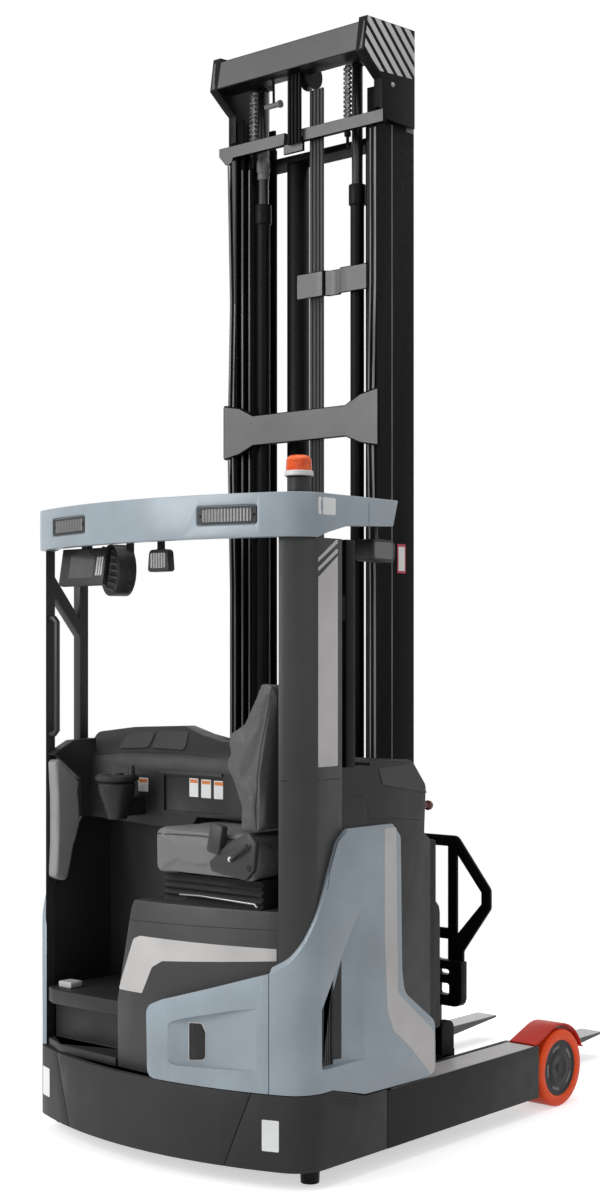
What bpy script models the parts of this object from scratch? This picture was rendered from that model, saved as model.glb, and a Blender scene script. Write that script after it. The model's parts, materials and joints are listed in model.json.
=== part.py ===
"""A sit-on reach truck with a three-stage mast. Metres, +Z up, +X towards the fork tips, +Y to the truck's left.

Every outline is written in the truck's own frame: the origin is on the floor under the load-wheel axle,
on the centre line. One empty at the end of the tree moves all of it, so that the model's own origin is
on the floor in the middle of the truck's length.
"""

import math

import bmesh
import bpy
from mathutils import Matrix, Vector

# Overall sizes
WIDTH = 1.27
HALF = WIDTH / 2
TAIL_X = -1.59
GUARD_TAIL_X = -1.60
FORK_TIP_X = 0.82
FLOOR_CLEARANCE = 0.06
FIT = 0.0003
RUNNING_GAP = 0.007

# Plan curve of the rear end
REAR_RADIUS = 1.56
CORNER_RADIUS = 0.12

# Load wheels and legs
LOAD_WHEEL_RADIUS = 0.1425
LOAD_WHEEL_WIDTH = 0.130
HUB_RADIUS = 0.105
AXLE_RADIUS = 0.020
LEG_WIDTH = 0.145
LEG_TOP_Z = 0.25
LEG_REAR_X = -1.05
LEG_FRONT_X = -0.150
LEG_WALL = 0.012
CHEEK_WALL = 0.015
CHEEK_GAP = 0.010
GUARD_ARCH_GAP = 0.016
GUARD_ARCH_WALL = 0.006
GUARD_ARCH_WIDTH = 0.115
GUARD_ARCH_LIP = 0.010

# Chassis and drive unit
PAN_Z = 0.10
PAN_WALL = 0.016
SILL_WIDTH = 0.10
BEAM_LENGTH = 0.08
DRIVE_X = -1.345
DRIVE_Y = -0.11
DRIVE_WHEEL_RADIUS = 0.1715
DRIVE_WHEEL_WIDTH = 0.114
DRIVE_WELL_RADIUS = 0.195
TURNTABLE_Z = 0.375
TURNTABLE_WALL = 0.030
MOTOR_RADIUS = 0.105
MOTOR_TOP_Z = 0.66
BRIDGE_HALF = 0.145
RISER_X = (-1.153, -1.1335)

# Skirt and covers
SKIRT_TOP_Z = 0.30
SKIRT_WALL = 0.022
COVER_WALL = 0.012
SIDE_COVER_TOP_Z = 1.125
SEAM = 0.003
SEAM_Y = HALF - 0.1215

# Overhead guard
GUARD_TOP_Z = 2.19
GUARD_BOTTOM_Z = 2.05
GUARD_FRONT_X = -0.995
GUARD_BEAM_LENGTH = 0.110
GUARD_WALL = 0.040
ROOF_WALL = 0.030
LAMP_DEPTH = 0.008
ROOF_SLOTS = 7
ROOF_SLOT_WIDTH = 0.075
ROOF_BAR = 0.030

# Pillars
PILLAR_WALL = 0.045
PILLAR_FRONT_X = -1.273
PILLAR_WIDTH = 0.099
PILLAR_REAR_Y = HALF - PILLAR_WIDTH
POST_DEPTH = 0.035

# Mast
MAST_REAR_X = -0.75
MAST_FRONT_X = -0.53
MAST_HALF = 0.35
MAST_BOTTOM_Z = 0.07
FOOT_WALL = 0.010
FOOT_STEP_Z = 0.017
OUTER_TOP_Z = 3.60
RAIL_WEB = 0.012
RAIL_FLANGE = 0.012
RAIL_LIP = 0.036
STAGE_STEP_X = 0.018
STAGE_STEP_Y = 0.020
MIDDLE_LENGTH = 3.60
INNER_LENGTH = 3.50
CROSSHEAD_TOP_Z = 3.92
CYLINDER_Y = 0.225
CYLINDER_X = -0.700
BARREL_RADIUS = 0.025
ROD_RADIUS = 0.020
BARREL_TOP_Z = 3.36


# Helpers that make one mesh from one Blender tool
def clear_scene():
    for obj in list(bpy.data.objects):
        bpy.data.objects.remove(obj)


def new_collection(name):
    made = bpy.data.collections.new(name)
    bpy.context.scene.collection.children.link(made)
    return made


def finish(name, colour, roughness, metallic=0.0):
    made = bpy.data.materials.new(name)
    made.use_nodes = True
    shader = made.node_tree.nodes["Principled BSDF"]
    shader.inputs["Base Color"].default_value = (*colour, 1.0)
    shader.inputs["Roughness"].default_value = roughness
    shader.inputs["Metallic"].default_value = metallic
    return made


clear_scene()
PARTS = new_collection("reach_truck")
CUTTERS = new_collection("cutters")

BLUE_GREY = finish("blue_grey_paint", (0.24, 0.30, 0.36), 0.40)
CHARCOAL = finish("charcoal_plastic", (0.030, 0.031, 0.033), 0.55)
BLACK_STEEL = finish("black_painted_steel", (0.015, 0.015, 0.016), 0.45)
RAIL_STEEL = finish("rolled_mast_steel", (0.020, 0.020, 0.021), 0.35, 0.4)
BRIGHT_STEEL = finish("bright_steel", (0.60, 0.60, 0.60), 0.25, 1.0)
ORANGE = finish("orange_urethane", (0.85, 0.10, 0.02), 0.40)
RED_ORANGE = finish("red_orange_paint", (0.62, 0.03, 0.01), 0.40)
SOLID_TYRE = finish("dark_tread", (0.03, 0.03, 0.03), 0.70)
AMBER = finish("amber_lens", (0.90, 0.22, 0.03), 0.20)
SEAT_VINYL = finish("seat_vinyl", (0.030, 0.030, 0.032), 0.60)
HOSE_RUBBER = finish("hose_rubber", (0.020, 0.020, 0.020), 0.60)


def empty(name, point, parent=None):
    """An empty at a point of the truck's frame, under the empty that carries it."""
    made = bpy.data.objects.new(name, None)
    PARTS.objects.link(made)
    made["at"] = point
    if parent is not None:
        made.parent = parent
        base = Vector(parent["at"])
    else:
        base = Vector((0.0, 0.0, 0.0))
    made.location = Vector(point) - base
    return made


def carry(obj, axis):
    """Hang a mesh drawn in the truck's frame from the empty on its joint's axis."""
    obj.parent = axis
    obj.location = -Vector(axis["at"])
    return obj


TRUCK = empty("truck_frame", (0.0, 0.0, 0.0))
TRUCK.location = (-(GUARD_TAIL_X + FORK_TIP_X) / 2, 0.0, 0.0)


def new_object(name, mesh, look):
    made = bpy.data.objects.new(name, mesh)
    PARTS.objects.link(made)
    mesh.materials.clear()
    mesh.materials.append(look)
    return carry(made, TRUCK)


def mesh_object(name, bm, look):
    bmesh.ops.recalc_face_normals(bm, faces=bm.faces)
    mesh = bpy.data.meshes.new(name)
    bm.to_mesh(mesh)
    bm.free()
    return new_object(name, mesh, look)


def block(name, x, y, z, look):
    """A box between two corners, each side a (low, high) pair."""
    bm = bmesh.new()
    bmesh.ops.create_cube(bm, size=1.0)
    size = (x[1] - x[0], y[1] - y[0], z[1] - z[0])
    middle = ((x[0] + x[1]) / 2, (y[0] + y[1]) / 2, (z[0] + z[1]) / 2)
    bmesh.ops.scale(bm, vec=size, verts=bm.verts)
    bmesh.ops.translate(bm, vec=middle, verts=bm.verts)
    return mesh_object(name, bm, look)


def rod(name, start, end, radius, look, sides=24, end_radius=None):
    """A cylinder, or a cone, from one point to another."""
    start, end = Vector(start), Vector(end)
    along = end - start
    bm = bmesh.new()
    bmesh.ops.create_cone(
        bm,
        cap_ends=True,
        segments=sides,
        radius1=radius,
        radius2=radius if end_radius is None else end_radius,
        depth=along.length,
    )
    turn = Vector((0, 0, 1)).rotation_difference(along).to_matrix().to_4x4()
    bmesh.ops.transform(bm, matrix=Matrix.Translation((start + end) / 2) @ turn, verts=bm.verts)
    return mesh_object(name, bm, look)


def from_curve(name, curve, matrix, look):
    """Turn a curve into a mesh whose caps are welded to its sides."""
    source = bpy.data.objects.new(name + "_curve", curve)
    bpy.context.scene.collection.objects.link(source)
    graph = bpy.context.evaluated_depsgraph_get()
    mesh = bpy.data.meshes.new_from_object(source.evaluated_get(graph))
    bpy.data.objects.remove(source)
    bm = bmesh.new()
    bm.from_mesh(mesh)
    bmesh.ops.transform(bm, matrix=matrix, verts=bm.verts)
    bmesh.ops.remove_doubles(bm, verts=bm.verts, dist=0.00002)
    return mesh_object(name, bm, look)


# How a flat outline's own axes lie in the truck's frame
PLANES = {
    "xz": ((1, 0, 0), (0, 0, 1), (0, -1, 0)),
    "yz": ((0, 1, 0), (0, 0, 1), (1, 0, 0)),
    "xy": ((1, 0, 0), (0, 1, 0), (0, 0, 1)),
}


def plate(name, outline, plane, span, look):
    """A flat outline with thickness: span is its low and high place along the third axis."""
    curve = bpy.data.curves.new(name, "CURVE")
    curve.dimensions = "2D"
    curve.fill_mode = "BOTH"
    curve.extrude = abs(span[1] - span[0]) / 2
    spline = curve.splines.new("POLY")
    spline.points.add(len(outline) - 1)
    for point, (a, b) in zip(spline.points, outline):
        point.co = (a, b, 0.0, 1.0)
    spline.use_cyclic_u = True
    columns = [Vector(axis) for axis in PLANES[plane]]
    matrix = Matrix.Identity(4)
    for index, axis in enumerate(columns):
        for row in range(3):
            matrix[row][index] = axis[row]
    normal = Vector([abs(value) for value in columns[2]])
    shift = Matrix.Translation(normal * (span[0] + span[1]) / 2)
    return from_curve(name, curve, shift @ matrix, look)


def tube(name, route, radius, look, fineness=2, closed=False):
    """A round bar or pipe along a list of points."""
    curve = bpy.data.curves.new(name, "CURVE")
    curve.dimensions = "3D"
    curve.bevel_depth = radius
    curve.bevel_resolution = fineness
    curve.use_fill_caps = not closed
    spline = curve.splines.new("POLY")
    spline.points.add(len(route) - 1)
    for point, place in zip(spline.points, route):
        point.co = (*place, 1.0)
    spline.use_cyclic_u = closed
    return from_curve(name, curve, Matrix.Identity(4), look)


def turned(name, profile, centre, axis, look, steps=32):
    """A solid of revolution: profile is (radius, height) down its outer side, about an axis."""
    mesh = bpy.data.meshes.new(name)
    points = [(radius, 0.0, height) for radius, height in profile]
    edges = [(i, i + 1) for i in range(len(points) - 1)]
    if profile[0][0] > 0:
        edges.append((len(points) - 1, 0))
    mesh.from_pydata(points, edges, [])
    source = bpy.data.objects.new(name + "_profile", mesh)
    bpy.context.scene.collection.objects.link(source)
    screw = source.modifiers.new("Screw", "SCREW")
    screw.steps = steps
    screw.render_steps = steps
    screw.use_merge_vertices = True
    screw.merge_threshold = 0.00005
    graph = bpy.context.evaluated_depsgraph_get()
    made = bpy.data.meshes.new_from_object(source.evaluated_get(graph))
    bpy.data.objects.remove(source)
    bm = bmesh.new()
    bm.from_mesh(made)
    bmesh.ops.remove_doubles(bm, verts=bm.verts, dist=0.00005)
    turn = Vector((0, 0, 1)).rotation_difference(Vector(axis)).to_matrix().to_4x4()
    bmesh.ops.transform(bm, matrix=Matrix.Translation(centre) @ turn, verts=bm.verts)
    return mesh_object(name, bm, look)


def boolean(base, tool, operation):
    step = base.modifiers.new(tool.name, "BOOLEAN")
    step.operation = operation
    step.solver = "EXACT"
    step.object = tool
    for owner in list(tool.users_collection):
        owner.objects.unlink(tool)
    CUTTERS.objects.link(tool)
    tool.hide_render = True
    tool.display_type = "WIRE"
    return base


def cut(base, *tools):
    for tool in tools:
        boolean(base, tool, "DIFFERENCE")
    return base


def join(base, *tools):
    for tool in tools:
        boolean(base, tool, "UNION")
    return base


def keep(base, tool):
    return boolean(base, tool, "INTERSECT")


def rounded(corners, steps=5):
    """An outline from (a, b, radius) corners, each round corner an arc."""
    outline = []
    count = len(corners)
    for index, (a, b, radius) in enumerate(corners):
        here = Vector((a, b))
        before = (Vector(corners[index - 1][:2]) - here).normalized()
        after = (Vector(corners[(index + 1) % count][:2]) - here).normalized()
        if radius <= 0:
            outline.append((a, b))
            continue
        half_angle = before.angle(after) / 2
        reach = radius / math.tan(half_angle)
        middle = here + (before + after).normalized() * radius / math.sin(half_angle)
        first = here + before * reach - middle
        last = here + after * reach - middle
        turn = first.angle_signed(last)
        for step in range(steps + 1):
            angle = -turn * step / steps
            spoke = Matrix.Rotation(angle, 2) @ first
            outline.append(tuple(middle + spoke))
    return outline


def rectangle(a, b, radius=0.0):
    return [(a[0], b[0], radius), (a[1], b[0], radius), (a[1], b[1], radius), (a[0], b[1], radius)]


def box_outline(a, b, radius=0.0, steps=4):
    return rounded(rectangle(a, b, radius), steps)


def both_sides(make):
    """Make a right piece and a left piece: the maker takes the name's ending and the sign of Y."""
    return make("right", -1), make("left", 1)


def side_span(side, inner, outer):
    """A (low, high) pair in Y for a piece on the right (-1) or the left (+1)."""
    return (side * outer, side * inner) if side < 0 else (side * inner, side * outer)


# The plan curve of the rear end: a long arc between two corner arcs
def rear_corner_x(tail=TAIL_X):
    """Where the centre of the corner arcs lies along the truck."""
    reach = REAR_RADIUS - CORNER_RADIUS
    return tail + REAR_RADIUS - math.sqrt(reach**2 - (HALF - CORNER_RADIUS) ** 2)


def rear_x(y, inset=0.0, tail=TAIL_X):
    """Where the long arc lies along the truck, at a distance from the centre line."""
    return tail + REAR_RADIUS - math.sqrt((REAR_RADIUS - inset) ** 2 - y**2)


def rear_half(inset, tail=TAIL_X, steps=8):
    """Points of the left half, from the centre line round the corner to its end on the side."""
    centre_x = tail + REAR_RADIUS
    rear_radius = REAR_RADIUS - inset
    corner_radius = CORNER_RADIUS - inset
    corner_y = HALF - CORNER_RADIUS
    corner_x = rear_corner_x(tail)
    corner_angle = math.asin(corner_y / (REAR_RADIUS - CORNER_RADIUS))
    points = []
    for step in range(steps + 1):
        angle = corner_angle * step / steps
        points.append((centre_x - rear_radius * math.cos(angle), rear_radius * math.sin(angle)))
    for step in range(1, steps + 1):
        angle = corner_angle + (math.pi / 2 - corner_angle) * step / steps
        points.append(
            (corner_x - corner_radius * math.cos(angle), corner_y + corner_radius * math.sin(angle))
        )
    return points


def rear_outline(inset, front_x, tail=TAIL_X):
    """The whole plan outline, closed across at front_x."""
    left = rear_half(inset, tail)
    right = [(x, -y) for x, y in reversed(left[1:])]
    return [(front_x, -(HALF - inset))] + right + left + [(front_x, HALF - inset)]


def rear_band(inset, wall, front_x, tail=TAIL_X):
    """The plan outline of a wall that follows the rear end, open at front_x."""
    outside = rear_outline(inset, front_x, tail)
    inside = rear_outline(inset + wall, front_x, tail)
    return outside + list(reversed(inside))


# Legs with the load wheels
def make_leg(ending, side):
    outer, inner = HALF, HALF - LEG_WIDTH
    section = [
        (inner, FLOOR_CLEARANCE),
        (outer, FLOOR_CLEARANCE),
        (outer, LEG_TOP_Z),
        (inner, LEG_TOP_Z),
        (inner, LEG_TOP_Z - LEG_WALL),
        (outer - LEG_WALL, LEG_TOP_Z - LEG_WALL),
        (outer - LEG_WALL, FLOOR_CLEARANCE + LEG_WALL),
        (inner, FLOOR_CLEARANCE + LEG_WALL),
    ]
    section = [(side * y, z) for y, z in section]
    leg = plate("leg_" + ending, section, "yz", (LEG_REAR_X, LEG_FRONT_X), BLACK_STEEL)
    wheel_inner = HALF - LOAD_WHEEL_WIDTH
    cheek_outer = wheel_inner - CHEEK_GAP
    cheek = plate(
        "cheek_" + ending,
        rounded(
            [
                (LEG_FRONT_X - 0.06, FLOOR_CLEARANCE + 0.02, 0.0),
                (0.055, FLOOR_CLEARANCE + 0.02, 0.05),
                (0.055, LOAD_WHEEL_RADIUS + 0.075, 0.05),
                (LEG_FRONT_X - 0.06, LEG_TOP_Z - 0.005, 0.0),
            ]
        ),
        "xz",
        side_span(side, cheek_outer - CHEEK_WALL, cheek_outer),
        BLACK_STEEL,
    )
    stub = rod(
        "stub_axle_" + ending,
        (0, side * (cheek_outer - CHEEK_WALL / 2), LOAD_WHEEL_RADIUS),
        (0, side * (HALF - 0.035), LOAD_WHEEL_RADIUS),
        AXLE_RADIUS,
        BLACK_STEEL,
    )
    return join(leg, cheek, stub)


def make_load_wheel(ending, side):
    axis = empty("load_wheel_axis_" + ending, (0.0, side * HALF, LOAD_WHEEL_RADIUS), TRUCK)
    bore = AXLE_RADIUS + 0.0006
    width = LOAD_WHEEL_WIDTH
    dish = 0.010
    profile = [
        (0.0, 0.0 - dish),
        (HUB_RADIUS - 0.006, 0.0 - dish),
        (HUB_RADIUS, -0.003),
        (HUB_RADIUS + 0.004, 0.0),
        (LOAD_WHEEL_RADIUS - 0.008, 0.0),
        (LOAD_WHEEL_RADIUS, -0.008),
        (LOAD_WHEEL_RADIUS, -width + 0.008),
        (LOAD_WHEEL_RADIUS - 0.008, -width),
        (bore, -width),
        (bore, -0.034),
        (0.0, -0.034),
    ]
    wheel = turned(
        "load_wheel_" + ending, profile, (0, side * HALF, LOAD_WHEEL_RADIUS), (0, side, 0), ORANGE, 40
    )
    return carry(wheel, axis)


def make_wheel_guard(ending, side):
    """A pressed arch over the wheel, its front edge rolled outwards and its tail on the leg."""
    inner_radius = LOAD_WHEEL_RADIUS + GUARD_ARCH_GAP
    outer_radius = inner_radius + GUARD_ARCH_WALL
    seat_z = LEG_TOP_Z + FIT
    front, back = math.radians(22), math.radians(112)
    lip = math.radians(18)
    steps = 10
    angles = [front + (back - front) * step / steps for step in range(steps + 1)]
    centre = LOAD_WHEEL_RADIUS

    def at(radius, angle):
        return radius * math.cos(angle), centre + radius * math.sin(angle)

    upper = [at(outer_radius + GUARD_ARCH_LIP, lip)] + [at(outer_radius, a) for a in angles]
    lower = [at(inner_radius + GUARD_ARCH_LIP, lip)] + [at(inner_radius, a) for a in angles]
    tail_x = LEG_FRONT_X - 0.020
    tail = [(tail_x, seat_z + GUARD_ARCH_WALL), (tail_x, seat_z)]
    heel = [(LEG_FRONT_X - 0.004, seat_z)]
    outline = upper + tail + heel + list(reversed(lower))
    return plate(
        "wheel_guard_" + ending,
        outline,
        "xz",
        side_span(side, HALF - GUARD_ARCH_WIDTH, HALF - 0.004),
        RED_ORANGE,
    )


# Chassis with the drive unit's well
FOOT_INSET = 0.060
FOOT_CLEARANCE = 0.012
FOOT_RADIUS = 0.034


def make_chassis():
    inset = SKIRT_WALL + FIT
    beam_rear = LEG_REAR_X - FIT - BEAM_LENGTH
    pan = plate(
        "chassis_frame",
        rear_outline(inset, LEG_REAR_X - FIT),
        "xy",
        (PAN_Z, PAN_Z + PAN_WALL),
        BLACK_STEEL,
    )
    beam = block(
        "cross_beam",
        (beam_rear, LEG_REAR_X - FIT),
        (-(HALF - inset), HALF - inset),
        (FLOOR_CLEARANCE + 0.01, LEG_TOP_Z),
        BLACK_STEEL,
    )
    sills = [
        block(
            "sill_" + ending,
            (rear_corner_x(), beam_rear + 0.01),
            side_span(side, HALF - inset - SILL_WIDTH, HALF - inset - 0.001),
            (FLOOR_CLEARANCE + 0.01, LEG_TOP_Z),
            BLACK_STEEL,
        )
        for ending, side in (("right", -1), ("left", 1))
    ]
    feet = [
        rod(
            "foot_" + ending,
            (rear_corner_x(), side * (HALF - FOOT_INSET), PAN_Z),
            (rear_corner_x(), side * (HALF - FOOT_INSET), FOOT_CLEARANCE),
            FOOT_RADIUS,
            BLACK_STEEL,
            20,
            FOOT_RADIUS - 0.004,
        )
        for ending, side in (("right", -1), ("left", 1))
    ]
    well = rod(
        "drive_well",
        (DRIVE_X, DRIVE_Y, PAN_Z - 0.05),
        (DRIVE_X, DRIVE_Y, PAN_Z + 0.08),
        DRIVE_WELL_RADIUS,
        BLACK_STEEL,
        40,
    )
    deck_z = TURNTABLE_Z + TURNTABLE_WALL
    bridge = block(
        "drive_bridge",
        (DRIVE_X - 0.13, RISER_X[1]),
        (DRIVE_Y - BRIDGE_HALF, DRIVE_Y + BRIDGE_HALF),
        (deck_z + FIT, deck_z + 0.02),
        BLACK_STEEL,
    )
    riser = block(
        "drive_riser",
        RISER_X,
        (DRIVE_Y - BRIDGE_HALF, DRIVE_Y + BRIDGE_HALF),
        (PAN_Z + 0.005, deck_z + 0.02),
        BLACK_STEEL,
    )
    journal = rod(
        "drive_journal",
        (DRIVE_X, DRIVE_Y, deck_z),
        (DRIVE_X, DRIVE_Y, deck_z + 0.03),
        MOTOR_RADIUS + 0.0006,
        BLACK_STEEL,
        40,
    )
    chassis = join(pan, beam, *sills, riser, bridge, *feet)
    return cut(chassis, well, journal)


def make_drive_unit():
    axis = empty("drive_steer_axis", (DRIVE_X, DRIVE_Y, TURNTABLE_Z), TRUCK)
    table = rod(
        "drive_housing",
        (DRIVE_X, DRIVE_Y, TURNTABLE_Z),
        (DRIVE_X, DRIVE_Y, TURNTABLE_Z + TURNTABLE_WALL),
        DRIVE_WELL_RADIUS - 0.030,
        BLACK_STEEL,
        40,
    )
    motor = rod(
        "drive_motor",
        (DRIVE_X, DRIVE_Y, TURNTABLE_Z + 0.01),
        (DRIVE_X, DRIVE_Y, MOTOR_TOP_Z),
        MOTOR_RADIUS,
        BLACK_STEEL,
        40,
    )
    gear_y = DRIVE_Y + DRIVE_WHEEL_WIDTH / 2 + 0.008
    gearcase = plate(
        "drive_gearcase",
        rounded(
            [
                (DRIVE_X - 0.075, DRIVE_WHEEL_RADIUS - 0.065, 0.06),
                (DRIVE_X + 0.075, DRIVE_WHEEL_RADIUS - 0.065, 0.06),
                (DRIVE_X + 0.075, TURNTABLE_Z + 0.01, 0.0),
                (DRIVE_X - 0.075, TURNTABLE_Z + 0.01, 0.0),
            ]
        ),
        "xz",
        (gear_y, gear_y + 0.055),
        BLACK_STEEL,
    )
    stub = rod(
        "drive_stub",
        (DRIVE_X, gear_y + 0.02, DRIVE_WHEEL_RADIUS),
        (DRIVE_X, DRIVE_Y - 0.03, DRIVE_WHEEL_RADIUS),
        0.025,
        BLACK_STEEL,
    )
    housing = carry(join(table, motor, gearcase, stub), axis)
    roll = empty("drive_wheel_axis", (DRIVE_X, DRIVE_Y, DRIVE_WHEEL_RADIUS), axis)
    half = DRIVE_WHEEL_WIDTH / 2
    bore = 0.0256
    profile = [
        (0.0, half - 0.012),
        (0.10, half - 0.012),
        (0.12, half),
        (DRIVE_WHEEL_RADIUS - 0.006, half),
        (DRIVE_WHEEL_RADIUS, half - 0.006),
        (DRIVE_WHEEL_RADIUS, 0.006 - half),
        (DRIVE_WHEEL_RADIUS - 0.006, -half),
        (bore, -half),
        (bore, 0.032),
        (0.0, 0.032),
    ]
    wheel = turned(
        "drive_wheel", profile, (DRIVE_X, DRIVE_Y, DRIVE_WHEEL_RADIUS), (0, -1, 0), SOLID_TYRE, 40
    )
    return carry(wheel, roll), housing


# Skirt: three heavy plates round the tail, with slanted joints
SKIRT_JOINT_TOP_Y = HALF - 0.180
SKIRT_JOINT_BOTTOM_Y = HALF - 0.273


def skirt_wedge(name, spread):
    top, bottom = SKIRT_JOINT_TOP_Y + spread, SKIRT_JOINT_BOTTOM_Y + spread
    slope = (top - bottom) / (SKIRT_TOP_Z - FLOOR_CLEARANCE)
    rise = 0.02
    outline = [
        (-bottom + slope * rise, FLOOR_CLEARANCE - rise),
        (bottom - slope * rise, FLOOR_CLEARANCE - rise),
        (top + slope * rise, SKIRT_TOP_Z + rise),
        (-top - slope * rise, SKIRT_TOP_Z + rise),
    ]
    return plate(name, outline, "yz", (TAIL_X - 0.05, TAIL_X + 0.15), BLACK_STEEL)


def make_skirt():
    band = rear_band(0.0, SKIRT_WALL, LEG_REAR_X - SEAM)
    span = (FLOOR_CLEARANCE, SKIRT_TOP_Z)
    centre = plate("rear_skirt", band, "xy", span, CHARCOAL)
    keep(centre, skirt_wedge("skirt_centre_wedge", -SEAM / 2))
    for ending, side in (("right", -1), ("left", 1)):
        corner = plate("skirt_corner_" + ending, band, "xy", span, CHARCOAL)
        half = block(
            "skirt_half_" + ending,
            (TAIL_X - 0.1, LEG_REAR_X + 0.1),
            side_span(side, 0.0, HALF + 0.1),
            (0.0, SKIRT_TOP_Z + 0.1),
            CHARCOAL,
        )
        keep(corner, half)
        cut(corner, skirt_wedge("skirt_side_wedge_" + ending, SEAM / 2))
        top = plate(
            "skirt_slope_" + ending,
            [(-1.32, SKIRT_TOP_Z), (-1.17, 0.256), (LEG_REAR_X + 0.1, 0.256), (LEG_REAR_X + 0.1, 0.4), (-1.32, 0.4)],
            "xz",
            side_span(side, HALF - 0.1, HALF + 0.1),
            CHARCOAL,
        )
        cut(corner, top)


# Covers: painted panels that wrap the rear corners and run forward to the mast
SCOOP_WALL = 0.004
SIDE_SCOOP_DEPTH = 0.030
SIDE_SCOOP_ROOM = 0.002
SIDE_SCOOP_FRONT_X = -1.174
SIDE_SCOOP_FLOOR_X = -1.295
SIDE_SCOOP_REAR_X = -1.386
LEFT_RECESS_DEPTH = 0.007
REAR_SCOOP_DEPTH = 0.026
REAR_SCOOP_FLOOR = ((-0.148, 0.0), (-0.205, REAR_SCOOP_DEPTH), (-0.275, REAR_SCOOP_DEPTH), (-0.477, 0.0))
REAR_VENT_Y = (-0.272, -0.210)
REAR_VENT_Z = (0.380, 0.490)
LOUVRE_PITCH = 0.010
LOUVRE_WIDTH = 0.004


def side_scoop_outline(grow):
    """The scoop in the side covers, a tall triangle, made larger all round by grow."""
    return rounded(
        [
            (SIDE_SCOOP_REAR_X - grow, 0.375 - grow, 0.008),
            (SIDE_SCOOP_FRONT_X + grow, 0.375 - grow, 0.008),
            (SIDE_SCOOP_FRONT_X + grow, 0.895 + 2 * grow, 0.012),
            (-1.299 - 0.7 * grow, 0.710 + 0.7 * grow, 0.0),
            (SIDE_SCOOP_REAR_X - grow, 0.566 + 0.5 * grow, 0.015),
        ],
        3,
    )


def side_depths(side, points):
    """Plan points from (x, depth below the side face) pairs."""
    return [(x, side * (HALF - depth)) for x, depth in points]


def add_side_scoop(cover, side):
    """Sink a sloping scoop into the cover, open at its rear end where the louvres show."""
    tray = plate(
        "side_scoop_tray",
        side_depths(
            side,
            [
                (SIDE_SCOOP_FRONT_X + 0.006, 0.002),
                (SIDE_SCOOP_FRONT_X + 0.006, SCOOP_WALL + 0.001),
                (SIDE_SCOOP_FLOOR_X, SIDE_SCOOP_DEPTH + SCOOP_WALL),
                (SIDE_SCOOP_REAR_X - 0.006, SIDE_SCOOP_DEPTH + SCOOP_WALL),
                (SIDE_SCOOP_REAR_X - 0.006, 0.002),
            ],
        ),
        "xy",
        (0.36, 0.92),
        BLUE_GREY,
    )
    reach = side_span(side, HALF - 0.1, HALF + 0.1)
    keep(tray, plate("side_scoop_rim", side_scoop_outline(0.005), "xz", reach, BLUE_GREY))
    join(cover, tray)
    hollow = plate(
        "side_scoop_hollow",
        side_depths(
            side,
            [
                (SIDE_SCOOP_FRONT_X, -0.05),
                (SIDE_SCOOP_FRONT_X, 0.0),
                (SIDE_SCOOP_FLOOR_X, SIDE_SCOOP_DEPTH),
                (SIDE_SCOOP_FLOOR_X, SIDE_SCOOP_DEPTH + 0.05),
                (SIDE_SCOOP_REAR_X - 0.05, SIDE_SCOOP_DEPTH + 0.05),
                (SIDE_SCOOP_REAR_X - 0.05, -0.05),
            ],
        ),
        "xy",
        (0.3, 1.0),
        BLUE_GREY,
    )
    keep(hollow, plate("side_scoop_window", side_scoop_outline(0.0), "xz", reach, BLUE_GREY))
    return cut(cover, hollow)


def side_scoop_room(name, side):
    """The room that the scoop takes in the steelwork and mouldings behind the cover."""
    depth = SIDE_SCOOP_DEPTH + SCOOP_WALL + SIDE_SCOOP_ROOM
    return plate(name, side_scoop_outline(0.007), "xz", side_span(side, HALF - depth, HALF + 0.1), CHARCOAL)


def rear_scoop_outline(grow):
    """The scoop in the rear cover, widest beside the cab's way in, made larger by grow."""
    return rounded(
        [
            (-0.477 - grow, 0.371 - grow, 0.008),
            (-0.148 + grow, 0.356 - grow, 0.028),
            (-0.148 + grow, 0.492 + grow, 0.028),
            (-0.215, 0.514 + grow, 0.0),
            (-0.388, 0.554 + grow, 0.0),
            (-0.477 - grow, 0.568 + grow, 0.008),
        ],
        3,
    )


def rear_scoop_plan(extra, outside):
    """The scoop's floor in plan and a line at a depth of outside, which close it."""
    floor = [(rear_x(y) + depth + extra, y) for y, depth in REAR_SCOOP_FLOOR]
    face = [(rear_x(y) + outside, y) for y, depth in reversed(REAR_SCOOP_FLOOR)]
    return floor + face


def add_rear_scoop(cover):
    """Sink the scoop into the rear cover, with louvres through its floor."""
    reach = (TAIL_X - 0.1, TAIL_X + 0.3)
    tray = plate("rear_scoop_tray", rear_scoop_plan(SCOOP_WALL, 0.002), "xy", (0.34, 0.60), BLUE_GREY)
    keep(tray, plate("rear_scoop_rim", rear_scoop_outline(0.005), "yz", reach, BLUE_GREY))
    join(cover, tray)
    hollow = plate("rear_scoop_hollow", rear_scoop_plan(0.0, -0.05), "xy", (0.3, 0.64), BLUE_GREY)
    keep(hollow, plate("rear_scoop_window", rear_scoop_outline(0.0), "yz", reach, BLUE_GREY))
    cut(cover, hollow)
    floor_x = rear_x(REAR_VENT_Y[1]) + REAR_SCOOP_DEPTH
    count = int((REAR_VENT_Z[1] - REAR_VENT_Z[0]) / LOUVRE_PITCH)
    for index in range(count):
        low = REAR_VENT_Z[0] + index * LOUVRE_PITCH
        slot = block(
            "rear_vent_%d" % index,
            (floor_x - 0.005, floor_x + 0.03),
            REAR_VENT_Y,
            (low, low + LOUVRE_WIDTH),
            BLUE_GREY,
        )
        cut(cover, slot)
    return cover


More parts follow.
